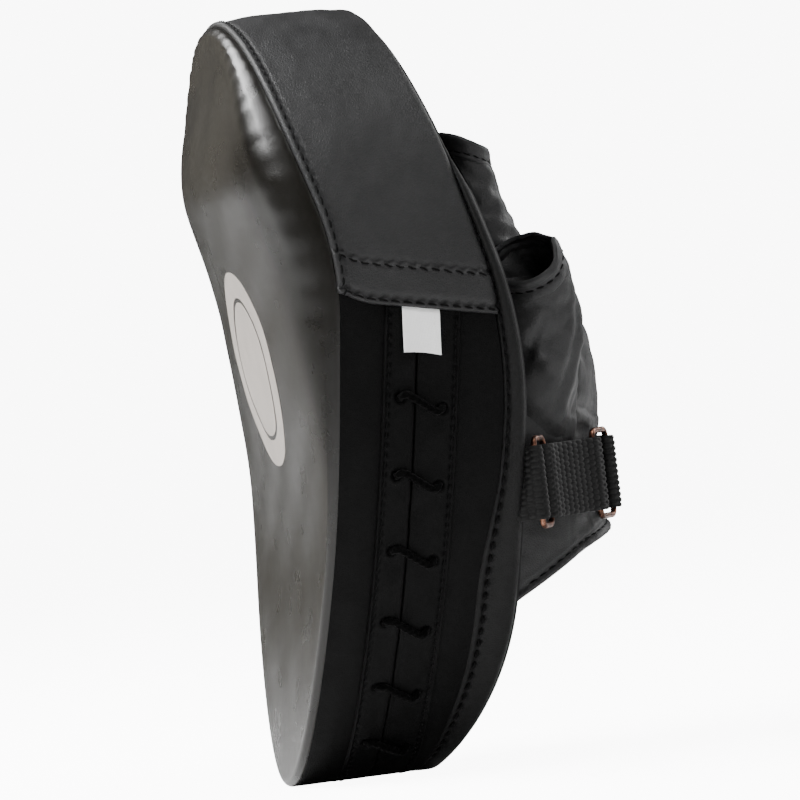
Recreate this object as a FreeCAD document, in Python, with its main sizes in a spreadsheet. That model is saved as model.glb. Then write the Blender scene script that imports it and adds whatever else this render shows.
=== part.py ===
import FreeCAD, Part
import Sketcher
import math
import os

# Focus mitt: a curved striking pad with a hand pocket on its back.
# Row frame: +Z towards the fingertips, -Y out of the striking face, +X on the thumb side.
# The pad's lowest point is at Z 0 and its outline is symmetric about X 0.

V = FreeCAD.Vector
doc = FreeCAD.newDocument("focus_mitt")

# ---------------------------------------------------------------- driving dimensions
DIMENSIONS = {
    # depth of the origin behind the seam's own zero: the middle of the whole mitt's depth
    "origin_depth": 53.14,
    # front outline of the pad
    "mitt_height": 255.0,
    "outline_half_width": 84.0,
    "outline_top_power": 2.6,
    "outline_side_power": 2.1,
    "outline_taper": 0.145,
    "heel_narrowing": 0.16,
    # side profile: seam of the striking face, two straight legs and a blend
    "front_bend_height": 171.8,
    "front_bend_depth": 20.3,
    "front_heel_slope": 0.142,
    "front_finger_slope": -0.251,
    "front_blend": 20.0,
    # side profile: rear edge of the pad
    "rear_bend_height": 141.3,
    "rear_bend_depth": 76.5,
    "rear_heel_slope": 0.11,
    "rear_finger_slope": -0.262,
    "rear_blend": 28.0,
    # the rear edge curves in towards the face at the heel
    "heel_tuck": 17.0,
    "heel_tuck_height": 60.0,
    "heel_tuck_power": 1.6,
    # crowns of the striking face and of the back
    "face_crown": 23.6,
    "face_crown_height": 195.0,
    "face_crown_below": 134.6,
    "face_crown_above": 64.0,
    "back_crown": 6.0,
    # layers, front to back
    "leather": 1.6,
    "front_foam_thickness": 18.0,
    "rear_foam_thickness": 10.0,
    "board_thickness": 2.0,
    "band_fold": 1.2,
    # printed target
    "target_radius": 33.0,
    "target_thickness": 0.4,
    "target_side_shift": 7.0,
    "target_height": 140.0,
    # top band and lacing placket on the thumb side
    "band_edge_height": 162.4,
    "band_edge_slope": -0.194,
    "slit_depth": 22.6,
    "slit_slope": 0.138,
    "slit_gap": 0.8,
    "placket_front": 10.7,
    "placket_rear": 13.3,
    "tongue_inset": 4.0,
    "tongue_thickness": 1.0,
    "tongue_front": 9.0,
    "tongue_rear": 11.5,
    "tongue_side": 6.0,
    "lace_radius": 1.1,
    "eyelet_radius": 1.35,
    "eyelet_front": 4.5,
    "eyelet_rear": 7.5,
    "lace_drop": 4.6,
    "lace_first_height": 125.0,
    "lace_pitch": 25.0,
    "lace_count": 6,
    "lace_lift": 0.15,
    # blank size label
    "label_width": 11.0,
    "label_length": 13.5,
    "label_thickness": 0.4,
    "label_front": 38.6,
    "label_tuck": 1.6,
    "label_clearance": 0.25,
    # arch of the hand pocket
    "arch_half_width": 60.0,
    "arch_base": 70.0,
    "arch_top": 110.0,
    "arch_power": 2.4,
    "cover_leather": 1.8,
    "cuff_low": 50.0,
    "cuff_high": 110.0,
    "cuff_edge_height": 55.0,
    "cuff_edge_slope": 0.525,
    "knuckle_height": 157.0,
    "knuckle_half_width": 51.0,
    "knuckle_top": 102.0,
    # finger and thumb sleeves
    "finger_pitch": 24.0,
    "finger_radius": 11.7,
    "sleeve_leather": 1.5,
    "hem_length": 6.0,
    # palm grip inside the pocket
    "grip_radius": 11.0,
    "grip_length": 74.0,
    "grip_height": 134.0,
    "grip_sink": 2.0,
    "grip_end_round": 4.0,
    # strap
    "strap_height": 92.3,
    "webbing_width": 24.0,
    "webbing": 1.6,
    "wire_radius": 1.0,
    "loop_clearance": 0.3,
    "ring_inner_width": 26.4,
    "near_ring_depth": 10.3,
    "far_ring_depth": 15.3,
    "ring_corner": 2.6,
    "anchor_tuck": 4.0,
    "main_strap_gap": 0.5,
    "main_strap_end": 33.0,
    "pile_half_length": 30.0,
    "hook_end": 28.0,
    "hook_inset": 2.0,
    "strap_tab_end": 37.0,
    "patch_side_inset": 1.0,
    "far_patch_edge": -52.0,
    "far_patch_margin": 3.0,
    "patch_thickness": 1.2,
    "patch_gap": 0.3,
    "strap_end_reach": 46.0,
}

sheet = doc.addObject("Spreadsheet::Sheet", "dimensions")
for row, (alias, value) in enumerate(DIMENSIONS.items(), start=1):
    sheet.set("A%d" % row, alias)
    sheet.set("B%d" % row, str(value))
    sheet.setAlias("B%d" % row, alias)
doc.recompute()


def dim(alias):
    """A driving dimension, read from the spreadsheet."""
    return float(sheet.get(alias))


subparts = []


def keep(obj, label):
    """Name a document object as a sub-part that gets its own file."""
    obj.Label = label
    subparts.append(obj)
    return obj


def feature(label, shape):
    """A sub-part whose free-form shape is set here from the spreadsheet's values."""
    obj = doc.addObject("Part::Feature", label)
    obj.Shape = shape
    obj.Placement = FreeCAD.Placement()
    return keep(obj, label)


def only_solid(shape):
    """The single solid in a boolean's result."""
    solids = shape.Solids
    if len(solids) != 1:
        raise RuntimeError("expected one solid, got %d" % len(solids))
    return solids[0]


# ---------------------------------------------------------------- pad geometry
HEIGHT = dim("mitt_height")
LEATHER = dim("leather")
# Reaches that lie beyond the mitt, for cutting solids.
FAR = 300.0
SIDE = 130.0
REACH = 90.0


def half_width(z):
    """Half width of the pad's outline at height z: a superellipse that narrows to the heel."""
    u = max(-1.0, min(1.0, 2.0 * z / HEIGHT - 1.0))
    arch = (1.0 - abs(u) ** dim("outline_top_power")) ** (1.0 / dim("outline_side_power"))
    heel = max(0.0, -u) ** 2
    return dim("outline_half_width") * arch * (
        1.0 + dim("outline_taper") * u - dim("heel_narrowing") * heel
    )


def heel_tuck(z):
    """How far the rear edge is drawn in towards the face near the heel."""
    share = max(0.0, 1.0 - max(0.0, z) / dim("heel_tuck_height"))
    return dim("heel_tuck") * share ** dim("heel_tuck_power")


def bent_line(z, end):
    """Depth of a bent edge at height z: two straight legs with a parabolic blend."""
    rise = z - dim(end + "_bend_height")
    blend = dim(end + "_blend")
    low, high = dim(end + "_heel_slope"), dim(end + "_finger_slope")
    depth = dim(end + "_bend_depth")
    if end == "rear":
        depth -= heel_tuck(z)
    if rise < -blend:
        return depth + low * rise
    if rise > blend:
        return depth + high * rise
    share = (rise + blend) / (2.0 * blend)
    return depth + low * rise + (high - low) * blend * share * share


def face_crown(z):
    """How far the middle of the striking face stands out in front of its seam."""
    rise = z - dim("face_crown_height")
    reach = dim("face_crown_above") if rise > 0.0 else dim("face_crown_below")
    share = min(1.0, abs(rise) / reach)
    return dim("face_crown") * math.cos(math.pi / 2.0 * share) ** 2


def safe_width(z):
    """The outline's half width, kept above zero at its two ends."""
    return math.hypot(half_width(z), 20.0)


def front_depth(x, z):
    return bent_line(z, "front") - face_crown(z) * (1.0 - (x / safe_width(z)) ** 4)


def back_depth(x, z):
    u = 2.0 * z / HEIGHT - 1.0
    swell = dim("back_crown") * (1.0 - (x / safe_width(z)) ** 2) * max(0.0, 1.0 - u ** 6)
    return bent_line(z, "rear") + swell


def skin_surface(depth):
    """A smooth face of the given depth function, a little larger than the pad."""
    rows, columns = 25, 13
    grid = []
    for i in range(rows):
        z = HEIGHT / 2.0 - (HEIGHT / 2.0 + 3.0) * math.cos(math.pi * i / (rows - 1))
        reach = 1.16 * safe_width(z)
        line = []
        for j in range(columns):
            x = reach * (2.0 * j / (columns - 1) - 1.0)
            line.append(V(x, depth(x, z), z))
        grid.append(line)
    surface = Part.BSplineSurface()
    surface.interpolate(grid)
    return surface.toShape()


FRONT_SKIN = skin_surface(front_depth)
BACK_SKIN = skin_surface(back_depth)


def outline_point(turn, inset):
    """A point of the outline, moved inwards by inset; turn runs once round from the heel."""
    def place(angle):
        z = HEIGHT / 2.0 * (1.0 - math.cos(angle))
        side = 1.0 if math.sin(angle) >= 0.0 else -1.0
        return V(side * half_width(z), 0.0, z)

    step = 0.01
    along = place(turn + step) - place(turn - step)
    along.normalize()
    inward = V(-along.z, 0.0, along.x)
    return place(turn) + inward * inset


def prism(inset):
    """The outline as a deep solid along Y."""
    count = 36
    points = [outline_point(2.0 * math.pi * (i + 0.5) / count, inset) for i in range(count)]
    curve = Part.BSplineCurve()
    curve.interpolate(Points=points, PeriodicFlag=True)
    face = Part.Face(Part.Wire([curve.toShape()]))
    face.translate(V(0.0, -FAR / 2.0, 0.0))
    return face.extrude(V(0.0, FAR, 0.0))


def behind(skin, offset, depth=FAR):
    """The solid behind a skin, starting offset behind it."""
    moved = skin.copy()
    moved.translate(V(0.0, offset, 0.0))
    return moved.extrude(V(0.0, depth, 0.0))


def slab(outer, skin, offset, depth):
    """A layer of constant depth that follows a skin, inside an outline prism."""
    return only_solid(outer.common(behind(skin, offset, depth)))


def side_band(low, high, x_low=0.0):
    """A solid between two slanted lines in the YZ plane; each line is (depth at Z 0, slope)."""
    bottom, top = -REACH, HEIGHT + REACH
    corners = [
        V(x_low, low[0] + low[1] * bottom, bottom),
        V(x_low, high[0] + high[1] * bottom, bottom),
        V(x_low, high[0] + high[1] * top, top),
        V(x_low, low[0] + low[1] * top, top),
    ]
    face = Part.Face(Part.makePolygon(corners + corners[:1]))
    return face.extrude(V(SIDE - x_low, 0.0, 0.0))


def above_band_edge():
    """Everything above the top band's slanted lower edge."""
    near, far = -REACH, 2.0 * REACH
    edge, slope = dim("band_edge_height"), dim("band_edge_slope")
    corners = [
        V(-SIDE, near, edge + slope * near),
        V(-SIDE, far, edge + slope * far),
        V(-SIDE, far, HEIGHT + REACH),
        V(-SIDE, near, HEIGHT + REACH),
    ]
    face = Part.Face(Part.makePolygon(corners + corners[:1]))
    return face.extrude(V(2.0 * SIDE, 0.0, 0.0))


OUTER = prism(0.0)
INNER = prism(LEATHER)
BAND_OUTER = prism(-dim("band_fold"))
ABOVE = above_band_edge()

BOARD_FRONT = -(LEATHER + dim("rear_foam_thickness") + dim("board_thickness"))
FOAM_BACK = LEATHER + dim("front_foam_thickness")

# The placket's slanted lines, each as (depth at Z 0, slope).
SLIT = (dim("slit_depth"), dim("slit_slope"))


def beside_slit(shift):
    return (SLIT[0] + shift, SLIT[1])


PLACKET_FRONT = beside_slit(-dim("placket_front"))
PLACKET_REAR = beside_slit(dim("placket_rear"))

# The stretch behind the placket that holds the lace and its tongue.
TONGUE_BAND = side_band(
    beside_slit(-dim("tongue_front")), beside_slit(dim("tongue_rear")), dim("tongue_side")
)
LACE_ROOM = INNER.cut(prism(dim("tongue_inset") + dim("tongue_thickness")))
LACE_ROOM = LACE_ROOM.common(TONGUE_BAND).cut(ABOVE)


def build_layers():
    """Face leather, foams, stiffening board and back leather."""
    feature("face_panel", slab(OUTER, FRONT_SKIN, 0.0, LEATHER))
    front_foam = slab(INNER, FRONT_SKIN, LEATHER, dim("front_foam_thickness"))
    feature("front_foam", only_solid(front_foam.cut(LACE_ROOM)))
    core = INNER.common(behind(FRONT_SKIN, FOAM_BACK)).cut(behind(BACK_SKIN, BOARD_FRONT))
    feature("core_foam", only_solid(core.cut(LACE_ROOM)))
    board = slab(INNER, BACK_SKIN, BOARD_FRONT, dim("board_thickness"))
    feature("backing_board", only_solid(board.cut(LACE_ROOM)))
    rear = slab(INNER, BACK_SKIN, -LEATHER - dim("rear_foam_thickness"), dim("rear_foam_thickness"))
    feature("rear_foam", only_solid(rear.cut(LACE_ROOM)))
    feature("back_panel", slab(OUTER, BACK_SKIN, -LEATHER, LEATHER))


def build_target():
    """The flat round target print, a thin disc that follows the face."""
    disc = Part.makeCylinder(
        dim("target_radius"), FAR,
        V(dim("target_side_shift"), -FAR / 2.0, dim("target_height")), V(0.0, 1.0, 0.0),
    )
    thin = dim("target_thickness")
    feature("target_print", slab(disc, FRONT_SKIN, -thin, thin))


def wall(outer, inner):
    """The wall between two outline prisms, from the face leather to the back leather."""
    ring = outer.cut(inner)
    return ring.common(behind(FRONT_SKIN, LEATHER)).cut(behind(BACK_SKIN, -LEATHER))


def wall_place(angle):
    """A point of the thumb side wall on the slit's line, and the wall's outward direction."""
    here = outline_point(angle, 0.0)
    outward = here - outline_point(angle, 1.0)
    return here + V(0.0, SLIT[0] + SLIT[1] * here.z, 0.0), outward


def further_down(angle, length):
    """The outline angle that lies length further towards the heel."""
    step = 0.002
    travelled = 0.0
    while travelled < length:
        travelled += (outline_point(angle - step, 0.0) - outline_point(angle, 0.0)).Length
        angle -= step
    return angle


def eyelets():
    """Each pair of lace holes from the top down, and the point behind the flaps between pairs."""
    holes = []
    angle = math.acos(1.0 - 2.0 * dim("lace_first_height") / HEIGHT)
    for number in range(int(dim("lace_count"))):
        front, front_out = wall_place(angle)
        rear, rear_out = wall_place(further_down(angle, dim("lace_drop")))
        halfway, halfway_out = wall_place(further_down(angle, 0.6 * dim("lace_pitch")))
        front = front - V(0.0, dim("eyelet_front"), 0.0)
        rear = rear + V(0.0, dim("eyelet_rear"), 0.0)
        holes.append(((front, front_out), (rear, rear_out), (halfway, halfway_out)))
        angle = further_down(angle, dim("lace_pitch"))
    return holes


EYELETS = eyelets()


def eyelet_cutters():
    radius = dim("eyelet_radius")
    cutters = []
    for pair in EYELETS:
        for centre, outward in pair[:2]:
            cutters.append(Part.makeCylinder(radius, 8.0, centre - outward * 4.0, outward))
    return Part.makeCompound(cutters)


def build_walls():
    """Top band, far wall, the two near strips, the lacing flaps and their tongue."""
    skin = wall(OUTER, INNER)
    band = wall(BAND_OUTER, INNER).common(ABOVE)
    feature("top_band", only_solid(band))
    below = skin.cut(ABOVE)
    thumb_side = Part.makeBox(SIDE, FAR, FAR, V(0.0, -FAR / 2.0, -REACH / 2.0))
    feature("far_side_wall", only_solid(below.cut(thumb_side)))
    near = below.common(thumb_side)
    feature("front_side_strip", only_solid(near.common(side_band((-REACH, 0.0), PLACKET_FRONT))))
    feature("rear_side_strip", only_solid(near.common(side_band(PLACKET_REAR, (2.0 * REACH, 0.0)))))
    gap = dim("slit_gap") / 2.0
    holes = eyelet_cutters()
    front = near.common(side_band(PLACKET_FRONT, beside_slit(-gap))).cut(holes)
    feature("lacing_flap_front", only_solid(front))
    rear = near.common(side_band(beside_slit(gap), PLACKET_REAR)).cut(holes)
    feature("lacing_flap_rear", only_solid(rear))
    inset = dim("tongue_inset")
    tongue = prism(inset).cut(prism(inset + dim("tongue_thickness")))
    feature("lacing_tongue", only_solid(tongue.common(TONGUE_BAND).cut(ABOVE)))


def rod_chain(points, radius):
    """A round cord through the given points, with a ball at each turn."""
    pieces = []
    for start, end in zip(points, points[1:]):
        run = end - start
        pieces.append(Part.makeCylinder(radius, run.Length, start, run))
    for point in points:
        pieces.append(Part.makeSphere(radius, point))
    return only_solid(pieces[0].fuse(pieces[1:]).removeSplitter())


def build_lace():
    """One lace: over the slit from a front hole to a rear hole, then down behind the flaps."""
    radius = dim("lace_radius")
    proud = radius + dim("lace_lift")
    sunk = -(LEATHER + proud)
    points = []
    for (front, front_out), (rear, rear_out), (halfway, halfway_out) in EYELETS:
        points.append(front + front_out * sunk)
        points.append(front + front_out * proud)
        points.append((front + rear) * 0.5 + rear_out * (proud + dim("lace_lift")))
        points.append(rear + rear_out * proud)
        points.append(rear + rear_out * sunk)
        points.append(halfway + halfway_out * sunk)
    feature("side_lace", rod_chain(points[:-1], radius))


def build_label():
    """The blank size label that hangs from the band's edge over the placket."""
    label = doc.addObject("Part::Box", "label_box")
    label.setExpression("Length", "dimensions.label_thickness")
    label.setExpression("Width", "dimensions.label_width")
    label.setExpression("Height", "dimensions.label_length")
    front = dim("label_front")
    middle = front + dim("label_width") / 2.0
    top = dim("band_edge_height") + dim("band_edge_slope") * middle - dim("label_tuck")
    side = half_width(top) + dim("label_clearance")
    place = V(side, front, top - dim("label_length"))
    label.Placement = FreeCAD.Placement(place, FreeCAD.Rotation(V(0.0, 0.0, 1.0), 0.0))
    keep(label, "size_label")


# ---------------------------------------------------------------- hand pocket
PAD_ENVELOPE = behind(BACK_SKIN, -FAR, FAR)


def arch_wire(z, half, base, top, grow=0.0, drop=40.0):
    """Closed section of the pocket's arch at height z: a superelliptic hump on straight feet."""
    power = 2.0 / dim("arch_power")
    points = []
    steps = 12
    for i in range(steps + 1):
        angle = math.pi * i / steps
        x = math.copysign(abs(math.cos(angle)) ** power, math.cos(angle)) * (half + grow)
        y = base + math.sin(angle) ** power * (top + grow - base) if 0 < i < steps else base
        points.append(V(x, y, z))
    curve = Part.BSplineCurve()
    curve.interpolate(Points=points)
    low = base - drop
    feet = Part.makePolygon([points[-1], V(points[-1].x, low, z), V(points[0].x, low, z), points[0]])
    return Part.Wire([curve.toShape()] + feet.Edges)


def arch_prism(low, high, grow):
    """The arch of constant section round the wrist."""
    wire = arch_wire(low, dim("arch_half_width"), dim("arch_base"), dim("arch_top"), grow)
    return Part.Face(wire).extrude(V(0.0, 0.0, high - low))


def knuckle_loft(grow):
    """The arch over the back of the hand, from the wrist to the knuckles."""
    half, base, top = dim("arch_half_width"), dim("arch_base"), dim("arch_top")
    low, high = dim("cuff_high"), dim("knuckle_height")
    middle = low + 0.6 * (high - low)
    sections = [
        arch_wire(low, half, base, top, grow),
        arch_wire(middle, half - 2.5, base, top + 0.6, grow),
        arch_wire(high, dim("knuckle_half_width"), base, dim("knuckle_top"), grow),
    ]
    return Part.makeLoft(sections, True, False)


def ring_section(centre, radius_x, radius_y, normal=V(0.0, 0.0, 1.0)):
    """An elliptical section wire; radius_y stays along Y's side."""
    ellipse = Part.Ellipse(V(0.0, 0.0, 0.0), max(radius_x, radius_y), min(radius_x, radius_y))
    wire = Part.Wire([ellipse.toShape()])
    if radius_y > radius_x:
        wire.rotate(V(0.0, 0.0, 0.0), V(0.0, 0.0, 1.0), 90.0)
    turn = FreeCAD.Rotation(V(0.0, 0.0, 1.0), normal)
    wire.Placement = FreeCAD.Placement(centre, turn).multiply(wire.Placement)
    return wire


FINGERS = {
    # name: (column, tip height, depth and radius at the base, middle and tip)
    "index": (1.5, 206.0, (84.5, 13.6), (77.6, 9.0), (74.6, 7.8)),
    "middle": (0.5, 206.0, (87.0, 14.2), (81.0, 11.4), (75.6, 8.6)),
    "ring": (-0.5, 203.0, (87.0, 14.2), (81.0, 11.2), (75.6, 8.4)),
    "little": (-1.5, 195.0, (84.5, 13.6), (78.4, 9.4), (75.4, 8.0)),
}


def finger_loft(name, grow):
    """The outside of one finger sleeve, grown or shrunk by grow."""
    column, tip, base, middle, end = FINGERS[name]
    x = column * dim("finger_pitch")
    low = dim("knuckle_height") + 0.3
    radius = dim("finger_radius") + grow
    heights = (low, low + 0.5 * (tip - low), tip)
    sections = []
    for z, (depth, thick) in zip(heights, (base, middle, end)):
        sections.append(ring_section(V(x, depth, z), radius, thick + grow))
    return Part.makeLoft(sections, True, False)


def build_fingers():
    """Four finger sleeves, open at the tip, each with its folded hem."""
    leather = dim("sleeve_leather")
    for name in FINGERS:
        tip = FINGERS[name][1]
        tube = finger_loft(name, 0.0).cut(finger_loft(name, -leather)).cut(PAD_ENVELOPE)
        above = Part.makeBox(300.0, 300.0, 60.0, V(-150.0, -50.0, tip - dim("hem_length")))
        feature(name + "_sleeve", only_solid(tube.cut(above)))
        feature(name + "_hem", only_solid(tube.common(above)))


THUMB = (
    # centre, the two radii and the direction of each section, from the hand to the tip
    (V(46.0, 86.0, 116.0), 14.0, 14.0, V(0.25, 0.0, 1.0)),
    (V(54.0, 86.5, 142.0), 15.0, 13.0, V(0.35, -0.1, 1.0)),
    (V(58.5, 86.0, 160.5), 14.5, 11.6, V(0.5, -0.35, 0.85)),
    (V(61.0, 84.6, 165.2), 14.0, 11.0, V(0.5, -0.35, 0.85)),
)


def thumb_loft(grow, first, last):
    """The outside of the thumb sleeve between two of its sections, grown by grow."""
    sections = [
        ring_section(centre, wide + grow, thick + grow, direction)
        for centre, wide, thick, direction in THUMB[first:last]
    ]
    return Part.makeLoft(sections, True, last - first == 2)


def below_cuff_edge():
    """Everything below the wrist cuff's slanted lower edge."""
    near, far = dim("arch_base") - REACH, dim("arch_base") + REACH
    edge, slope = dim("cuff_edge_height"), dim("cuff_edge_slope")
    corners = [
        V(-SIDE, near, edge - slope * REACH),
        V(-SIDE, far, edge + slope * REACH),
        V(-SIDE, far, -REACH),
        V(-SIDE, near, -REACH),
    ]
    face = Part.Face(Part.makePolygon(corners + corners[:1]))
    return face.extrude(V(2.0 * SIDE, 0.0, 0.0))


def build_hand_cover():
    """Back-of-hand panel, wrist cuff and thumb sleeve with its hem."""
    leather = dim("cover_leather")
    outside = knuckle_loft(0.0)
    shell = outside.cut(knuckle_loft(-leather)).cut(PAD_ENVELOPE)
    thumb_room = thumb_loft(0.0, 0, 3)
    feature("hand_cover", max(shell.cut(thumb_room).Solids, key=lambda s: s.Volume))
    low, high = dim("cuff_low"), dim("cuff_high")
    cuff = arch_prism(low, high, 0.0).cut(arch_prism(low, high, -leather)).cut(PAD_ENVELOPE)
    feature("wrist_cuff", only_solid(cuff.cut(below_cuff_edge())))
    wall_leather = dim("sleeve_leather")
    tube = thumb_loft(0.0, 0, 3).cut(thumb_loft(-wall_leather, 0, 3))
    tube = tube.cut(outside).cut(finger_loft("index", 0.0)).cut(PAD_ENVELOPE)
    sleeve = max(tube.Solids, key=lambda s: s.Volume)
    feature("thumb_sleeve", sleeve)
    hem = thumb_loft(0.0, 2, 4).cut(thumb_loft(-wall_leather, 2, 4))
    hem = hem.cut(outside).cut(finger_loft("index", 0.0)).cut(PAD_ENVELOPE)
    feature("thumb_hem", max(hem.Solids, key=lambda s: s.Volume))


def build_grip():
    """The padded roll across the palm: a foam core in a leather cover."""
    radius, length, z = dim("grip_radius"), dim("grip_length"), dim("grip_height")
    depth = bent_line(z, "rear") + dim("back_crown") - dim("grip_sink")
    centre = V(-length / 2.0, depth, z)
    axis = V(1.0, 0.0, 0.0)
    outside = Part.makeCylinder(radius, length, centre, axis)
    rounding = dim("grip_end_round")
    rims = [e for e in outside.Edges if isinstance(e.Curve, Part.Circle)]
    outside = outside.makeFillet(rounding, rims)
    inset = dim("sleeve_leather")
    core = Part.makeCylinder(
        radius - inset, length - 2.0 * inset, centre + axis * inset, axis
    )
    rims = [e for e in core.Edges if isinstance(e.Curve, Part.Circle)]
    core = core.makeFillet(rounding - 1.0, rims)
    feature("palm_grip_cover", only_solid(outside.cut(core).cut(PAD_ENVELOPE)))
    feature("palm_grip_core", only_solid(core.cut(PAD_ENVELOPE)))


# ---------------------------------------------------------------- strap
# Places of the four bars, each parallel to Z, from the near anchor to the strap's end.
BAR_NEAR_ANCHOR = V(79.0, 77.5, 0.0)
BAR_NEAR_LINK = V(70.0, 82.5, 0.0)
BAR_FAR_LINK = V(52.0, 103.0, 0.0)
BAR_FAR_END = V(38.6, 110.4, 0.0)
ANCHOR_SEAT = V(76.0, 70.0, 0.0)
STRAP_LOW = dim("strap_height") - dim("webbing_width") / 2.0


def plane_of(body, role):
    return next(f for f in body.Origin.OriginFeatures if f.Role == role)


def wire_ring(label, depth_alias, first, second):
    """A rectangular wire ring: a round wire swept along a rounded rectangle."""
    body = doc.addObject("PartDesign::Body", label + "_body")
    spine = body.newObject("Sketcher::SketchObject", label + "_spine")
    spine.AttachmentSupport = [(plane_of(body, "XZ_Plane"), "")]
    spine.MapMode = "FlatFace"
    half_x = (first - second).Length / 2.0
    half_z = dim("ring_inner_width") / 2.0 + dim("wire_radius")
    corner = dim("ring_corner")
    lines, arcs = [], []
    for sx, sz in ((1, 1), (-1, 1), (-1, -1), (1, -1)):
        centre = V(sx * (half_x - corner), sz * (half_z - corner), 0.0)
        begin = {(1, 1): 0.0, (-1, 1): 90.0, (-1, -1): 180.0, (1, -1): 270.0}[(sx, sz)]
        circle = Part.Circle(centre, V(0.0, 0.0, 1.0), corner)
        arc = Part.ArcOfCircle(circle, math.radians(begin), math.radians(begin + 90.0))
        arcs.append(spine.addGeometry(arc, False))
    for one, two in ((0, 1), (1, 2), (2, 3), (3, 0)):
        start = spine.Geometry[arcs[one]].EndPoint
        end = spine.Geometry[arcs[two]].StartPoint
        line = spine.addGeometry(Part.LineSegment(start, end), False)
        lines.append(line)
        spine.addConstraint(Sketcher.Constraint("Tangent", arcs[one], 2, line, 1))
        spine.addConstraint(Sketcher.Constraint("Tangent", line, 2, arcs[two], 1))
    for other in arcs[1:]:
        spine.addConstraint(Sketcher.Constraint("Equal", arcs[0], other))
    radius = spine.addConstraint(Sketcher.Constraint("Radius", arcs[0], corner))
    spine.setExpression("Constraints[%d]" % radius, "dimensions.ring_corner")
    spine.addConstraint(Sketcher.Constraint("Horizontal", lines[0]))
    spine.addConstraint(Sketcher.Constraint("Vertical", lines[1]))
    spine.addConstraint(Sketcher.Constraint("Symmetric", arcs[0], 3, arcs[2], 3, -1, 1))
    width = spine.addConstraint(Sketcher.Constraint("Distance", lines[0], 1, lines[2], 2 * half_z))
    spine.setExpression(
        "Constraints[%d]" % width, "dimensions.ring_inner_width + 2 * dimensions.wire_radius"
    )
    depth = spine.addConstraint(Sketcher.Constraint("Distance", lines[1], 1, lines[3], 2 * half_x))
    spine.setExpression("Constraints[%d]" % depth, "dimensions." + depth_alias)
    profile = body.newObject("Sketcher::SketchObject", label + "_wire")
    profile.AttachmentSupport = [(plane_of(body, "XY_Plane"), "")]
    profile.MapMode = "FlatFace"
    centre = V(half_x, 0.0, 0.0)
    circle = profile.addGeometry(Part.Circle(centre, V(0.0, 0.0, 1.0), dim("wire_radius")), False)
    size = profile.addConstraint(Sketcher.Constraint("Radius", circle, dim("wire_radius")))
    profile.setExpression("Constraints[%d]" % size, "dimensions.wire_radius")
    profile.addConstraint(Sketcher.Constraint("PointOnObject", circle, 3, -1))
    place = profile.addConstraint(Sketcher.Constraint("DistanceX", -1, 1, circle, 3, half_x))
    profile.setExpression("Constraints[%d]" % place, "dimensions." + depth_alias + " / 2")
    pipe = body.newObject("PartDesign::AdditivePipe", label + "_pipe")
    pipe.Profile = profile
    pipe.Spine = spine
    middle = (first + second) * 0.5 + V(0.0, 0.0, dim("strap_height"))
    run = first - second
    turn = FreeCAD.Rotation(V(0.0, 0.0, 1.0), math.degrees(math.atan2(run.y, run.x)))
    body.Placement = FreeCAD.Placement(middle, turn)
    return keep(body, label)


def webbing_loop(label, bar, towards, length_to):
    """Doubled webbing that wraps a bar: a tube round the bar fused with a flat double ply."""
    turn = FreeCAD.Rotation(V(0.0, 0.0, 1.0), math.degrees(math.atan2(towards.y, towards.x)))
    place = FreeCAD.Placement(V(bar.x, bar.y, STRAP_LOW), turn)
    sleeve = doc.addObject("Part::Cylinder", label + "_wrap")
    sleeve.setExpression(
        "Radius", "dimensions.wire_radius + dimensions.loop_clearance + dimensions.webbing"
    )
    sleeve.setExpression("Height", "dimensions.webbing_width")
    sleeve.Placement = place
    ply = doc.addObject("Part::Box", label + "_ply")
    ply.Length = length_to
    ply.setExpression("Width", "2 * dimensions.webbing")
    ply.setExpression("Height", "dimensions.webbing_width")
    across = turn.multVec(V(0.0, -dim("webbing"), 0.0))
    ply.Placement = FreeCAD.Placement(V(bar.x, bar.y, STRAP_LOW) + across, turn)
    return sleeve, ply


def bar_hole(label, bar):
    hole = doc.addObject("Part::Cylinder", label)
    hole.setExpression("Radius", "dimensions.wire_radius + dimensions.loop_clearance")
    hole.setExpression("Height", "dimensions.webbing_width + 2")
    hole.Placement = FreeCAD.Placement(V(bar.x, bar.y, STRAP_LOW - 1.0), FreeCAD.Rotation())
    return hole


def cut_of(label, base, tool):
    cut = doc.addObject("Part::Cut", label)
    cut.Base = base
    cut.Tool = tool
    return cut


def build_link():
    """The short webbing link between the two rings, wrapped round a bar at each end."""
    run = BAR_FAR_LINK - BAR_NEAR_LINK
    near, ply = webbing_loop("link_near", BAR_NEAR_LINK, run, run.Length)
    far, ply_back = webbing_loop("link_far", BAR_FAR_LINK, -run, run.Length / 2.0)
    whole = doc.addObject("Part::MultiFuse", "link_body")
    whole.Shapes = [near, ply, far, ply_back]
    first = cut_of("link_near_cut", whole, bar_hole("link_near_hole", BAR_NEAR_LINK))
    keep(cut_of("link_cut", first, bar_hole("link_far_hole", BAR_FAR_LINK)), "link_strap")


def build_anchor():
    """The webbing tab that comes out of the rear seam and holds the near ring."""
    run = ANCHOR_SEAT - BAR_NEAR_ANCHOR
    loop, ply = webbing_loop("anchor", BAR_NEAR_ANCHOR, run, run.Length + dim("anchor_tuck"))
    whole = doc.addObject("Part::Fuse", "anchor_body")
    whole.Base = loop
    whole.Tool = ply
    pierced = cut_of("anchor_pierced", whole, bar_hole("anchor_hole", BAR_NEAR_ANCHOR))
    doc.recompute()
    pad = OUTER.common(PAD_ENVELOPE)
    feature("strap_anchor_tab", only_solid(pierced.Shape.cut(pad)))


def strap_layer(start, thick, x_low, x_high, low, high):
    """A strip that follows the wrist arch, start outside it, between two X planes."""
    shell = arch_prism(low, high, start + thick).cut(arch_prism(low, high, start))
    window = Part.makeBox(x_high - x_low, FAR, high - low, V(x_low, 0.0, low))
    return shell.common(window).cut(PAD_ENVELOPE)


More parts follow.
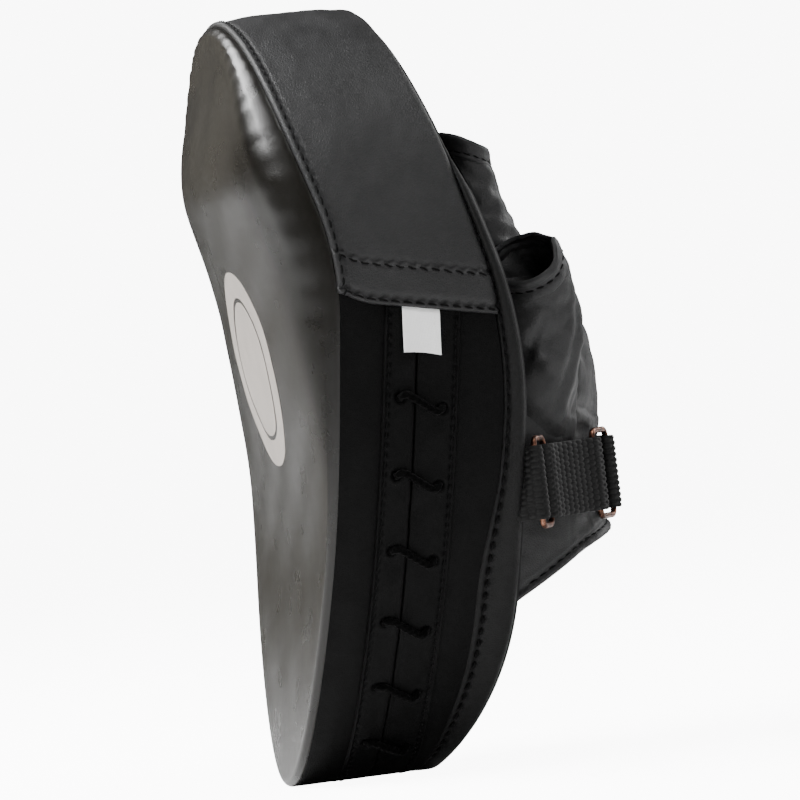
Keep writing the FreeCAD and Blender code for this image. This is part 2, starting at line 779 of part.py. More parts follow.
def build_straps():
    """Main strap over the wrist, its loop patch, and the end tab with its hook patch."""
    low = STRAP_LOW
    high = low + dim("webbing_width")
    gap, ply, patch = dim("main_strap_gap"), dim("webbing"), dim("patch_thickness")
    main = strap_layer(gap, ply, -SIDE, dim("main_strap_end"), low, high)
    feature("main_strap", max(main.Solids, key=lambda s: s.Volume))
    pile = gap + ply
    inset, half = dim("patch_side_inset"), dim("pile_half_length")
    loops = strap_layer(pile, patch, -half, half, low + inset, high - inset)
    feature("loop_patch", only_solid(loops))
    hook = pile + patch + dim("patch_gap")
    reach = BAR_FAR_END.x - dim("strap_end_reach")
    hooks = strap_layer(
        hook, patch, reach + dim("hook_inset"), dim("hook_end"), low + inset, high - inset
    )
    feature("hook_patch", only_solid(hooks))
    tab = strap_layer(hook + patch, ply, reach, dim("strap_tab_end"), low, high)
    bar = V(BAR_FAR_END.x, BAR_FAR_END.y, low)
    bore = dim("wire_radius") + dim("loop_clearance")
    wrap = Part.makeCylinder(bore + ply, high - low, bar)
    tab = tab.fuse(wrap).cut(Part.makeCylinder(bore, high - low + 2.0, bar - V(0.0, 0.0, 1.0)))
    feature("strap_end", only_solid(tab))


def build_far_anchor():
    """The leather patch sewn over the main strap's far end."""
    low = STRAP_LOW - dim("far_patch_margin")
    high = STRAP_LOW + dim("webbing_width") + dim("far_patch_margin")
    start = dim("main_strap_gap") + dim("webbing")
    patch = strap_layer(start, dim("cover_leather"), -SIDE, dim("far_patch_edge"), low, high)
    feature("far_anchor_patch", max(patch.Solids, key=lambda s: s.Volume))


build_layers()
build_target()
build_walls()
build_lace()
build_label()
build_hand_cover()
build_fingers()
build_grip()
wire_ring("near_ring", "near_ring_depth", BAR_NEAR_ANCHOR, BAR_NEAR_LINK)
wire_ring("far_ring", "far_ring_depth", BAR_FAR_LINK, BAR_FAR_END)
build_link()
build_anchor()
build_straps()
build_far_anchor()

# Move the whole mitt so that the origin is under the middle of its depth.
to_origin = FreeCAD.Placement(V(0.0, -dim("origin_depth"), 0.0), FreeCAD.Rotation())
for obj in subparts:
    obj.Placement = to_origin.multiply(obj.Placement)

# ---------------------------------------------------------------- check and write
doc.recompute()
for obj in doc.Objects:
    bad = [state for state in obj.State if state in ("Invalid", "Error")]
    if bad:
        raise RuntimeError("%s is %s" % (obj.Label, bad))
for obj in subparts:
    if obj.Shape.isNull() or not obj.Shape.isValid():
        raise RuntimeError("%s has no valid shape" % obj.Label)

os.makedirs("parts", exist_ok=True)
for obj in subparts:
    obj.Shape.exportStep("parts/%s.step" % obj.Label)
    print("%-20s %9.1f mm3" % (obj.Label, obj.Shape.Volume))
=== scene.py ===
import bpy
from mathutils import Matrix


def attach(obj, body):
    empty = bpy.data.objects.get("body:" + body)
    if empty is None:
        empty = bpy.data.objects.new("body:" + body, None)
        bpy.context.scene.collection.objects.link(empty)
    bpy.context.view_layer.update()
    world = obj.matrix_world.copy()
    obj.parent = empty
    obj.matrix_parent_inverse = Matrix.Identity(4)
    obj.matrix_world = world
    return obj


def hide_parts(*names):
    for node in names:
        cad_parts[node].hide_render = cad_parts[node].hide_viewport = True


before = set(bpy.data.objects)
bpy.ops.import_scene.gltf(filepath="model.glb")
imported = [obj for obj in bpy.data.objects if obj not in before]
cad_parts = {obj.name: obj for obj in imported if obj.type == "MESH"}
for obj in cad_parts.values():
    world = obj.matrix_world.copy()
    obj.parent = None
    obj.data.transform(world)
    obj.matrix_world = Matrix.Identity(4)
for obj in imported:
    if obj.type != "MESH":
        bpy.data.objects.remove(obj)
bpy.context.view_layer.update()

import math

import bmesh
import bpy
import numpy as np
from mathutils import Matrix, Vector
from mathutils.bvhtree import BVHTree

# The looks of a curved focus mitt: a domed striking pad whose back carries a hand pocket with
# finger sleeves, a thumb sleeve and a ringed wrist strap.
# Lengths are in millimetres, with depth Y measured from the seam's own zero, until
# make_piece turns them into metres of the row frame.
MM = 0.001
ORIGIN_DEPTH = 53.14

# ------------------------------------------------------------------ pad profile
HEIGHT = 255.0
OUTLINE_HALF_WIDTH = 84.0
FRONT_EDGE = dict(height=171.8, depth=20.3, heel=0.142, finger=-0.251, blend=20.0, tuck=0.0)
REAR_EDGE = dict(height=141.3, depth=76.5, heel=0.11, finger=-0.262, blend=28.0, tuck=17.0)
TUCK_HEIGHT, TUCK_POWER = 60.0, 2.3
FACE_CROWN, CROWN_HEIGHT, CROWN_BELOW, CROWN_ABOVE = 23.4, 195.0, 128.0, 64.0
BACK_CROWN = 6.0
LEATHER = 1.6
BAND_EDGE, BAND_SLOPE = 161.2, -0.194
SLIT_DEPTH, SLIT_SLOPE = 22.6, 0.138
PLACKET_FRONT, PLACKET_REAR, SLIT_GAP = -10.9, 14.4, 0.1
FACE_ROLL, FACE_TUCK = 2.6, 1.3
STITCH_PITCH, FLAP_PITCH = 4.0, 3.2


def half_width(z):
    """Half width of the pad's outline: a superellipse that narrows to the heel."""
    u = np.clip(2.0 * z / HEIGHT - 1.0, -1.0, 1.0)
    arch = (1.0 - np.abs(u) ** 2.6) ** (1.0 / 2.1)
    return OUTLINE_HALF_WIDTH * arch * (1.0 + 0.145 * u - 0.16 * np.maximum(0.0, -u) ** 2)


def bent_line(z, edge):
    """Depth of a bent edge: two straight legs, a parabolic blend and a tuck at the heel."""
    rise = z - edge["height"]
    share = np.clip((rise + edge["blend"]) / (2.0 * edge["blend"]), 0.0, 1.0)
    turned = (edge["finger"] - edge["heel"]) * edge["blend"] * share * share
    beyond = (edge["finger"] - edge["heel"]) * np.maximum(0.0, rise - edge["blend"])
    tuck = edge["tuck"] * np.clip(1.0 - z / TUCK_HEIGHT, 0.0, 1.0) ** TUCK_POWER
    return edge["depth"] + edge["heel"] * rise + turned + beyond - tuck


def face_crown(z):
    reach = np.where(z > CROWN_HEIGHT, CROWN_ABOVE, CROWN_BELOW)
    share = np.minimum(1.0, np.abs(z - CROWN_HEIGHT) / reach)
    return FACE_CROWN * np.cos(math.pi / 2.0 * share) ** 2


def smooth_step(value, low, high):
    t = np.clip((value - low) / (high - low), 0.0, 1.0)
    return t * t * (3.0 - 2.0 * t)


def safe_width(z):
    return np.hypot(half_width(z), 20.0)


def shoulder(share):
    """How far the face has fallen at a share of the way out to its edge, steepest at the end."""
    return 0.52 * share ** 3 + 0.48 * share ** 14


def front_depth(x, z):
    share = np.abs(x / safe_width(z))
    edge = half_width(z) / safe_width(z)
    fall = edge ** 5 * shoulder(share) / shoulder(np.maximum(edge, 0.05))
    return bent_line(z, FRONT_EDGE) - face_crown(z) * (1.0 - fall)


def back_depth(x, z):
    u = 2.0 * z / HEIGHT - 1.0
    swell = (1.0 - (x / safe_width(z)) ** 2) * np.maximum(0.0, 1.0 - u ** 6)
    return bent_line(z, REAR_EDGE) + BACK_CROWN * swell


def rim_table(count=4000):
    """The outline as arrays over arc length: up the thumb side from the heel, down the far side."""
    angle = np.linspace(0.0, 2.0 * math.pi, count + 1)
    z = HEIGHT / 2.0 * (1.0 - np.cos(angle))
    x = np.where(angle <= math.pi, 1.0, -1.0) * half_width(z)
    s = np.concatenate([[0.0], np.cumsum(np.hypot(np.diff(x), np.diff(z)))])
    dx = np.gradient(x, s)
    dz = np.gradient(z, s)
    size = np.hypot(dx, dz)
    return s, x, z, dz / size, -dx / size


RIM_S, RIM_X, RIM_Z, RIM_NX, RIM_NZ = rim_table()
RIM_LENGTH = RIM_S[-1]
FRONT_SEAM = front_depth(RIM_X, RIM_Z)
REAR_SEAM = bent_line(RIM_Z, REAR_EDGE)


def at(table, s):
    """A rim table's value at arc length s."""
    return np.interp(np.mod(s, RIM_LENGTH), RIM_S, table)


def side_point(s, depth, outset):
    """Points on the side of the pad, outset beyond its outline, except where it stands."""
    standing = 0.1 + 0.9 * smooth_step(at(RIM_Z, s), 0.0, 12.0)
    outset = np.where(np.asarray(outset) > 0.0, outset * standing, outset)
    x = at(RIM_X, s) + at(RIM_NX, s) * outset
    z = at(RIM_Z, s) + at(RIM_NZ, s) * outset
    return np.stack(np.broadcast_arrays(x, depth, z), axis=-1)


NEAR_HALF = RIM_S <= RIM_LENGTH / 2.0


def rim_place(z):
    """Arc length at which the thumb side of the rim reaches a height."""
    return np.interp(z, RIM_Z[NEAR_HALF], RIM_S[NEAR_HALF])


def band_edge_place(depth_table):
    """Arc length where a line of the given depth meets the band's lower edge, thumb side."""
    above = (RIM_Z - (BAND_EDGE + BAND_SLOPE * depth_table))[NEAR_HALF]
    return float(np.interp(0.0, above, RIM_S[NEAR_HALF]))


# ------------------------------------------------------------------ small tools
def ripple(points, size, seed=0.0):
    """Smooth fixed unevenness between about -1 and 1; size is its wavelength."""
    k = 2.0 * math.pi / size
    x, y, z = points[..., 0], points[..., 1], points[..., 2]
    a = np.sin(k * (0.83 * x + 0.31 * y + 0.47 * z) + 1.7 + seed)
    b = np.sin(k * (-0.41 * x + 0.92 * y + 0.36 * z) + 4.1 + 2.3 * seed)
    c = np.sin(k * (0.22 * x - 0.58 * y + 1.07 * z) + 0.6 + 3.7 * seed)
    d = np.sin(k * (1.31 * x - 0.73 * y - 0.66 * z) + 2.9 + 1.3 * seed)
    return (a * b + c * d) * 0.5 + 0.25 * (a + c)


def mixed_steps(count, crowding=0.6):
    """Fractions from 0 to 1, closer together towards both ends."""
    even = np.linspace(0.0, 1.0, count)
    return (1.0 - crowding) * even + crowding * 0.5 * (1.0 - np.cos(math.pi * even))


def bell(distance, width):
    return np.exp(-(distance / width) ** 2)


def rolled(distance, radius):
    """How far an edge has rounded away at a distance from it."""
    inside = np.clip(radius - distance, 0.0, radius)
    return radius - np.sqrt(np.maximum(0.0, radius * radius - inside * inside))


def unit(vectors):
    return vectors / np.maximum(1e-9, np.linalg.norm(vectors, axis=-1, keepdims=True))


def grid_faces(rows, columns, wrap_rows=False, wrap_columns=False):
    """Quads of a grid of points; a wrap joins its last row or column to its first."""
    i = np.arange(rows if wrap_rows else rows - 1)[:, None]
    j = np.arange(columns if wrap_columns else columns - 1)[None, :]
    down, right = (i + 1) % rows, (j + 1) % columns
    quads = [i * columns + j, i * columns + right, down * columns + right, down * columns + j]
    return np.stack([q.ravel() for q in quads], axis=1)


def grid_normals(grid, wrap_rows=False, wrap_columns=False):
    """Unit normals of a grid, outward where its rows run up the rim and its columns towards +Y."""
    def slope(axis, wrap):
        if wrap:
            return np.roll(grid, -1, axis) - np.roll(grid, 1, axis)
        return np.gradient(grid, axis=axis)

    return unit(np.cross(slope(1, wrap_columns), slope(0, wrap_rows)))


def shell(grid, thickness, wrap_columns=False, lip=0.35):
    """A closed wall behind a grid, with a rounded lip round each open edge."""
    rows, columns = grid.shape[:2]
    count = rows * columns
    inner = grid - grid_normals(grid, wrap_columns=wrap_columns) * thickness
    outside = grid_faces(rows, columns, False, wrap_columns)
    points = [grid.reshape(-1, 3), inner.reshape(-1, 3)]
    faces = [outside, outside[:, ::-1] + count]
    index = np.arange(count).reshape(rows, columns)
    edges = [(index[0], grid[0] - grid[1], False), (index[-1], grid[-1] - grid[-2], True)]
    if not wrap_columns:
        edges.append((index[:, 0], grid[:, 0] - grid[:, 1], True))
        edges.append((index[:, -1], grid[:, -1] - grid[:, -2], False))
    total = 2 * count
    for ids, outward, flip in edges:
        points.append((points[0][ids] + points[1][ids]) / 2.0 + unit(outward) * thickness * lip)
        own = total + np.arange(len(ids))
        total += len(ids)
        here = np.arange(len(ids) if wrap_columns else len(ids) - 1)
        there = (here + 1) % len(ids)
        top = np.stack([ids[here], own[here], own[there], ids[there]], axis=1)
        low = np.stack([own[here], ids[here] + count, ids[there] + count, own[there]], axis=1)
        both = np.concatenate([top, low])
        faces.append(both[:, ::-1] if flip else both)
    if not wrap_columns:
        faces += corner_caps(rows, columns, count)
    return np.concatenate(points), [tuple(f) for block in faces for f in block.tolist()]


def corner_caps(rows, columns, count):
    """Small faces that close the four corners between neighbouring lips."""
    first, last = 2 * count, 2 * count + columns
    left, right = last + columns, last + columns + rows
    corners = [
        (0, first, left, False),
        (columns - 1, first + columns - 1, right, True),
        ((rows - 1) * columns, last, left + rows - 1, True),
        (rows * columns - 1, last + columns - 1, right + rows - 1, False),
    ]
    caps = []
    for top, one, two, flip in corners:
        pair = [(top, two, one), (top + count, one, two)]
        caps.append(np.array([p[::-1] if flip else p for p in pair]))
    return caps


def to_row_frame(points):
    moved = np.array(points, float)
    moved[:, 1] -= ORIGIN_DEPTH
    return moved * MM


def make_piece(name, points, faces, material, slot, nodes=(), body="mitt", sharp=40.0):
    """A named piece of the mitt in the row frame, riding on a body."""
    mesh = bpy.data.meshes.new(name)
    mesh.from_pydata(to_row_frame(points).tolist(), [], [tuple(f) for f in faces])
    mesh.validate()
    solid = bmesh.new()
    solid.from_mesh(mesh)
    bmesh.ops.recalc_face_normals(solid, faces=solid.faces)
    solid.to_mesh(mesh)
    solid.free()
    mesh.shade_smooth()
    mesh.set_sharp_from_angle(angle=math.radians(sharp))
    obj = bpy.data.objects.new(name, mesh)
    bpy.context.scene.collection.objects.link(obj)
    obj.data.materials.append(material)
    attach(obj, body)
    if nodes:
        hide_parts(*nodes)
    return obj


def join_parts(parts):
    """Several (points, faces) as one."""
    points, faces, total = [], [], 0
    for part_points, part_faces in parts:
        points.append(part_points)
        faces += [tuple(i + total for i in f) for f in part_faces]
        total += len(part_points)
    return np.concatenate(points), faces


def run_lengths(path):
    """Distance along a polyline, or down each column of a grid, at every point."""
    steps = np.linalg.norm(np.diff(path, axis=0), axis=-1)
    return np.concatenate([np.zeros_like(steps[:1]), np.cumsum(steps, axis=0)])


def looked_up(places, s, table):
    """Each column of a table at places along s."""
    return np.stack([np.interp(places, s, column) for column in table.T], axis=1)


def resample(path, count):
    """Evenly spaced points along a polyline."""
    s = run_lengths(path)
    return looked_up(np.linspace(0.0, s[-1], count), s, path)


def smooth_path(points, per_span=8):
    """A Catmull-Rom line through the given points."""
    p = np.array(points, float)
    p = np.concatenate([[2 * p[0] - p[1]], p, [2 * p[-1] - p[-2]]])
    t = np.linspace(0.0, 1.0, per_span, endpoint=False)[:, None]
    spans = []
    for a, b, c, d in zip(p, p[1:], p[2:], p[3:]):
        spans.append(
            0.5 * (2 * b + (c - a) * t + (2 * a - 5 * b + 4 * c - d) * t ** 2
                   + (3 * b - a - 3 * c + d) * t ** 3)
        )
    return np.concatenate(spans + [p[-2:-1]])


def tube(path, radius, sides=10, twist=None):
    """A round tube along a path; radius may change along it and, with twist, round it."""
    path = np.array(path, float)
    count = len(path)
    radius = np.broadcast_to(radius, (count,))
    along = unit(np.gradient(path, axis=0))
    side = np.zeros_like(path)
    last = np.array([0.0, 0.0, 1.0]) if abs(along[0][2]) < 0.9 else np.array([1.0, 0.0, 0.0])
    for i in range(count):
        last = side[i] = unit(last - along[i] * (last @ along[i]))
    up = np.cross(along, side)
    angle = np.linspace(0.0, 2.0 * math.pi, sides, endpoint=False)
    reach = np.repeat(radius[:, None], sides, axis=1)
    if twist is not None:
        reach = reach * twist(np.arange(count)[:, None], angle[None, :])
    rings = path[:, None] + reach[..., None] * (
        np.cos(angle)[None, :, None] * side[:, None] + np.sin(angle)[None, :, None] * up[:, None]
    )
    faces = [tuple(f) for f in grid_faces(count, sides, False, True).tolist()]
    caps = along[[0, -1]] * radius[[0, -1], None] * np.array([[-0.5], [0.5]])
    points = np.concatenate([rings.reshape(-1, 3), path[[0, -1]] + caps])
    total = count * sides
    for j in range(sides):
        k = (j + 1) % sides
        faces.append((total, k, j))
        faces.append((total + 1, total - sides + j, total - sides + k))
    return points, faces


def stitch_row(path, normals, pitch=STITCH_PITCH, fill=0.74, radius=0.34, sink=0.3):
    """Separate sewn stitches along a line on a surface, each dipping in at its two ends."""
    s = run_lengths(path)
    number = max(1, int(s[-1] / pitch))
    pitch = s[-1] / number
    parts = []
    share = np.linspace(0.0, 1.0, 7)
    rise = 1.0 - np.abs(2.0 * share - 1.0) ** 3
    for i in range(number):
        places = (i + 0.5 * (1.0 - fill) + fill * share) * pitch
        points, out = looked_up(places, s, path), unit(looked_up(places, s, normals))
        across = np.cross(unit(points[-1:] - points[:1]), out)
        points = points + out * (radius * 0.75 * rise - sink * (1.0 - rise))[:, None]
        points = points + across * (0.16 * (2.0 * share - 1.0))[:, None]
        parts.append(tube(points, radius * (0.72 + 0.28 * rise), sides=6))
    return join_parts(parts)


def sampled(grid, rows, columns):
    """Points and outward normals of a grid along given fractional row and column places."""
    rows, columns = np.broadcast_arrays(np.asarray(rows, float), np.asarray(columns, float))
    i = np.clip(rows.astype(int), 0, grid.shape[0] - 2)
    j = np.clip(columns.astype(int), 0, grid.shape[1] - 2)
    a, b = (rows - i)[:, None], (columns - j)[:, None]

    def pick(values):
        top = values[i, j] * (1 - b) + values[i, j + 1] * b
        low = values[i + 1, j] * (1 - b) + values[i + 1, j + 1] * b
        return top * (1 - a) + low * a

    return pick(grid), unit(pick(grid_normals(grid)))


def inset_places(grid, distance, columns, last=False):
    """Row places, at some columns, that lie a distance in from the first row or the last."""
    lengths = run_lengths(grid[::-1] if last else grid)
    whole = np.arange(len(grid), dtype=float)
    rows = np.array([np.interp(distance, lengths[:, int(round(c))], whole) for c in columns])
    return len(grid) - 1 - rows if last else rows


def side_stitches(grid, distance, last=False, **sewing):
    """Stitches along a strip, a distance in from its first column or its last."""
    rows = np.arange(len(grid))
    columns = inset_places(grid.transpose(1, 0, 2), distance, rows, last)
    return stitch_row(*sampled(grid, rows, columns), **sewing)


def ring_stitches(grid, row, **sewing):
    """Stitches all the way round one row of a closed sleeve."""
    ring, out = grid[row], grid_normals(grid, wrap_columns=True)[row]
    return stitch_row(*(np.concatenate([line, line[:1]]) for line in (ring, out)), **sewing)


def pushed(grid, out, wrap_columns=False):
    """A grid moved outwards along its own normals."""
    return grid + grid_normals(grid, wrap_columns=wrap_columns) * out[..., None]


def stitch_beat(place, low, pitch=STITCH_PITCH):
    """A wave from one stitch to the next, with low as its mean and 1 as its crest."""
    return low + (1.0 - low) * np.cos(2.0 * math.pi * place / pitch)


def flat_ripple(s, depth, size, seed=0.0):
    """Unevenness over the unrolled side of the pad."""
    return ripple(np.stack([s, depth, s * 0.0], axis=-1), size, seed)


def weld(piece, distance=0.00002):
    """Merge points that coincide, as along the pad's middle line."""
    mesh = bmesh.new()
    mesh.from_mesh(piece.data)
    bmesh.ops.remove_doubles(mesh, verts=mesh.verts, dist=distance)
    bmesh.ops.recalc_face_normals(mesh, faces=mesh.faces)
    mesh.to_mesh(piece.data)
    mesh.free()


def wall(name, grid, thickness, material, slot, node, sharp=60.0, wrap=False, lip=0.35,
         body="mitt"):
    """A piece made of one grid with a thickness behind it."""
    points, faces = shell(grid, thickness, wrap_columns=wrap, lip=lip)
    return make_piece(name, points, faces, material, slot, [node], body, sharp)


def skins(name, outer, inner, material, slot, node, sharp=40.0):
    """A piece between two grids whose rows run round the pad and end at its middle line."""
    rows, columns = outer.shape[:2]
    total = rows * columns
    faces = grid_faces(rows, columns, True, False)
    ring = np.arange(rows) * columns
    after = np.roll(ring, -1)
    edge = np.stack([ring, after, after + total, ring + total], axis=1)
    points = np.concatenate([outer.reshape(-1, 3), inner.reshape(-1, 3)])
    whole = [*faces.tolist(), *(faces[:, ::-1] + total).tolist(), *edge.tolist()]
    piece = make_piece(name, points, whole, material, slot, [node], sharp=sharp)
    weld(piece)
    return piece


def sewn(name, lines, slot, body="mitt"):
    """A piece of thread: one or more stitched lines."""
    make_piece(name, *join_parts(lines), thread, slot, body=body)


# ------------------------------------------------------------------ materials
class Look:
    """A material or world being put together from nodes round its one shader."""

    def __init__(self, owner, kind="BSDF_PRINCIPLED"):
        owner.use_nodes = True
        self.owner = owner
        self.nodes, self.link = owner.node_tree.nodes, owner.node_tree.links.new
        self.shader = next(n for n in self.nodes if n.type == kind)
        self.place = self.nodes.new("ShaderNodeTexCoord").outputs["Object"]

    def node(self, kind, inputs, **settings):
        """A node with its settings made, then its inputs set or linked."""
        node = self.nodes.new("ShaderNode" + kind)
        for name, value in settings.items():
            setattr(node, name, value)
        for key, value in inputs.items():
            self.feed(node.inputs[key], value)
        return node

    def feed(self, socket, value):
        if isinstance(value, bpy.types.NodeSocket):
            self.link(value, socket)
        else:
            socket.default_value = value

    def shade(self, **inputs):
        """Set or link the shader's inputs; an underscore stands for a space."""
        for name, value in inputs.items():
            self.feed(self.shader.inputs[name.replace("_", " ")], value)

    def noise(self, size, detail=4.0, roughness=0.55, stretch=None):
        """A noise value whose features are about size millimetres across."""
        place = self.place
        if stretch is not None:
            place = self.node("Mapping", {"Scale": stretch, "Vector": place}).outputs["Vector"]
        inputs = {"Scale": 1.0 / (size * MM), "Detail": detail, "Roughness": roughness}
        return self.node("TexNoise", {**inputs, "Vector": place}).outputs["Fac"]

    def pebbles(self, size):
        """Cell pattern of leather grain: high in each pebble, low in the creases between."""
        bend = self.node("TexNoise", {"Scale": 0.6 / (size * MM), "Vector": self.place})
        inputs = {0: bend.outputs["Color"], 1: (size * MM * 0.9,) * 3, 2: self.place}
        mixed = self.node("VectorMath", inputs, operation="MULTIPLY_ADD").outputs["Vector"]
        cells = self.node("TexVoronoi", {"Scale": 1.0 / (size * MM), "Vector": mixed},
                          feature="DISTANCE_TO_EDGE")
        return self.ramp(cells.outputs["Distance"], [(0.0, 0.0), (0.22, 1.0)])

    def ramp(self, value, stops):
        """A value or colour looked up along stops of (place, grey or colour)."""
        node = self.node("ValToRGB", {"Fac": value})
        elements = node.color_ramp.elements
        while len(elements) < len(stops):
            elements.new(0.5)
        for element, (place, colour) in zip(elements, stops):
            element.position = place
            element.color = (*(colour if isinstance(colour, tuple) else (colour,) * 3), 1.0)
        return node.outputs["Color"]

    def maths(self, operation, *values):
        return self.node("Math", dict(enumerate(values)), operation=operation).outputs["Value"]

    def mixed(self, factor, one, two, blend="MIX"):
        """Two colours mixed; 6 and 7 are the node's colour inputs and 2 its colour output."""
        return self.node("Mix", {"Factor": factor, 6: one, 7: two}, data_type="RGBA",
                         blend_type=blend).outputs[2]

    def proud(self, stops):
        """A ramp over how far each place stands out from those around it."""
        return self.ramp(self.node("NewGeometry", {}).outputs["Pointiness"], stops)

    def bump(self, height, depth):
        node = self.node("Bump", {"Distance": depth * MM, "Height": height})
        self.shade(Normal=node.outputs["Normal"])


def new_look(name):
    return Look(bpy.data.materials.new(name))


def leather(name, dark, light, rough, grain, relief, mottle=26.0, specular=0.5, wear=0.22,
            uneven=0.22):
    """Coated leather: grain in the relief, mottled colour and unevenly polished."""
    look = new_look(name)
    base = look.ramp(look.noise(mottle, 5.0, 0.6), [(0.3, dark), (0.72, light)])
    rubbed = (*(min(1.0, 2.2 * c + 0.004) for c in light), 1.0)
    polish = look.noise(mottle * 0.35, 3.0)
    look.shade(
        Base_Color=look.mixed(look.proud([(0.53, 0.0), (0.66, wear)]), base, rubbed),
        Roughness=look.maths("MULTIPLY_ADD", polish, uneven, rough - 0.5 * uneven),
        Specular_IOR_Level=specular,
    )
    height = look.maths("MULTIPLY_ADD", look.noise(grain * 0.35, 3.0), 0.5, look.pebbles(grain))
    folds = look.noise(grain * 3.4, 3.0, stretch=(1.0, 1.0, 0.6))
    look.bump(look.maths("MULTIPLY_ADD", folds, 1.1, height), relief)
    return look.owner


def woven(name, dark, light, rough, yarn, relief, specular=0.3):
    """Twisted yarn: fine fibres along the surface, with painted shade down between the yarns."""
    look = new_look(name)
    fibres = look.noise(yarn, 5.0, 0.7)
    tone = look.ramp(fibres, [(0.3, dark), (0.75, light)])
    # painted shade: the colour is multiplied darker where the surface lies below its surroundings,
    # down between the yarns
    look.shade(
        Base_Color=look.mixed(1.0, tone, look.proud([(0.44, 0.25), (0.56, 1.0)]), "MULTIPLY"),
        Roughness=look.maths("MULTIPLY_ADD", fibres, 0.2, rough - 0.1),
        Specular_IOR_Level=specular, Sheen_Weight=0.03, Sheen_Roughness=0.5,
    )
    look.bump(fibres, relief)
    return look.owner


def foam(name, dark, light, cell):
    """Cut foam: open cells as pits of uneven size, with painted shade in the creases between them."""
    look = new_look(name)
    cells = look.pebbles(cell)
    # painted shade: the colour darkens towards the creases between the cells
    look.shade(Base_Color=look.ramp(cells, [(0.0, dark), (1.0, light)]), Roughness=0.9)
    look.bump(cells, cell * 0.3)
    return look.owner


def plated_wire():
    """Antique copper plating: dark oxide worn through to copper at the bends."""
    look = new_look("antique_copper")
    tone = look.ramp(look.noise(2.6, 6.0, 0.65), [
        (0.36, (0.022, 0.017, 0.015)), (0.52, (0.12, 0.055, 0.036)), (0.7, (0.50, 0.25, 0.17)),
    ])
    scratches = look.noise(0.5, stretch=(1.0, 1.0, 0.25))
    rough = look.maths("MULTIPLY_ADD", scratches, 0.35, 0.2)
    look.shade(Base_Color=tone, Metallic=1.0, Roughness=rough)
    look.bump(scratches, 0.05)
    return look.owner


def printed():
    """Flat ink with a faint print texture, rubbed a little thin."""
    look = new_look("target_ink")
    rubbed = look.noise(9.0, 6.0, 0.65)
    tone = look.ramp(rubbed, [(0.25, (0.30, 0.272, 0.245)), (0.7, (0.37, 0.335, 0.305))])
    rough = look.maths("MULTIPLY_ADD", rubbed, 0.2, 0.36)
    look.shade(Base_Color=tone, Roughness=rough, Specular_IOR_Level=0.35)
    look.bump(look.noise(0.7), 0.03)
    return look.owner


def label_tape():
    """White satin tape: a fine over-and-under weave."""
    look = new_look("label_satin")
    inputs = {"Scale": 1.0 / (1.6 * MM), "Vector": look.place}
    yarns = [look.node("TexWave", inputs, bands_direction=way).outputs["Fac"] for way in "ZY"]
    weft = look.maths("MULTIPLY", *yarns)
    # faint painted shade: the white turns a little greyer where the weave lies low
    tone = look.ramp(weft, [(0.0, (0.97, 0.97, 0.96)), (1.0, (1.0, 1.0, 1.0))])
    look.shade(Base_Color=tone, Roughness=0.55)
    look.bump(weft, 0.05)
    return look.owner


def rigid_board():
    """Pressed fibre board."""
    look = new_look("pressed_board")
    fibres = look.noise(3.0, 8.0, 0.75)
    tone = look.ramp(fibres, [(0.3, (0.42, 0.38, 0.31)), (0.7, (0.58, 0.53, 0.44))])
    look.shade(Base_Color=tone, Roughness=0.8)
    look.bump(fibres, 0.1)
    return look.owner


face_leather = leather("face_leather", (0.0034, 0.0028, 0.0019), (0.0058, 0.0049, 0.0034), 0.29,
                       grain=0.55, relief=0.016, mottle=45.0, specular=0.42, wear=0.04, uneven=0.14)
side_leather = leather("side_leather", (0.0005, 0.0005, 0.0005), (0.0014, 0.0014, 0.0014), 0.58,
                       grain=0.8, relief=0.05, specular=0.09)
# back_leather is a lighter copy of the side leather for the back panel and welt: painted light, so
# they show where little light reaches
back_leather = leather("back_leather", (0.0026, 0.0026, 0.0026), (0.0054, 0.0054, 0.0054), 0.55,
                       grain=0.85, relief=0.06, specular=0.18)
band_leather = leather("band_leather", (0.0095, 0.0095, 0.0098), (0.016, 0.016, 0.0164), 0.50,
                       grain=0.95, relief=0.075, specular=0.35)
glove_leather = leather("glove_leather", (0.013, 0.013, 0.0134), (0.024, 0.024, 0.0244), 0.48,
                        grain=0.9, relief=0.06, mottle=16.0, specular=0.36)
hem_leather = leather("hem_leather", (0.011, 0.011, 0.0115), (0.018, 0.018, 0.0185), 0.50,
                      grain=0.7, relief=0.05, specular=0.4)
thread = woven("thread", 0.0003, 0.0010, 0.7, 0.25, 0.05, 0.1)
webbing_yarn = woven("webbing_yarn", (0.0015, 0.0015, 0.0014), (0.0060, 0.0060, 0.0057), 0.62,
                     0.3, 0.06, 0.22)
lace_yarn = woven("lace_yarn", 0.0001, 0.0005, 0.9, 0.3, 0.06, 0.05)
tongue_cloth = woven("tongue_cloth", 0.004, 0.009, 0.8, 0.5, 0.08)
pile_yarn = woven("pile_yarn", 0.005, 0.015, 0.85, 0.35, 0.2)
front_foam_stuff = foam("closed_cell_foam", (0.05, 0.05, 0.052), (0.10, 0.10, 0.105), 0.7)
core_foam_stuff = foam("dense_foam", (0.10, 0.10, 0.105), (0.18, 0.18, 0.185), 0.9)
rear_foam_stuff = foam("soft_foam", (0.45, 0.43, 0.36), (0.66, 0.63, 0.54), 1.2)
target_ink = printed()
copper_wire = plated_wire()
satin = label_tape()
board_stuff = rigid_board()


# ------------------------------------------------------------------ pad layers
SPINE_LOW, SPINE_HIGH = 66.0, 186.0
RIM_ROWS = 300


def rim_to_spine(inset, steps, rows=RIM_ROWS):
    """Grid of outline places from a rim moved inwards by inset to the pad's middle line."""
    s = np.linspace(0.0, RIM_LENGTH, rows, endpoint=False)
    x = (at(RIM_X, s) - at(RIM_NX, s) * inset)[:, None]
    z = (at(RIM_Z, s) - at(RIM_NZ, s) * inset)[:, None]
    middle = np.clip(z, SPINE_LOW, SPINE_HIGH)
    share = np.asarray(steps)[None, :]
    return x * (1.0 - share), z + (middle - z) * share, s


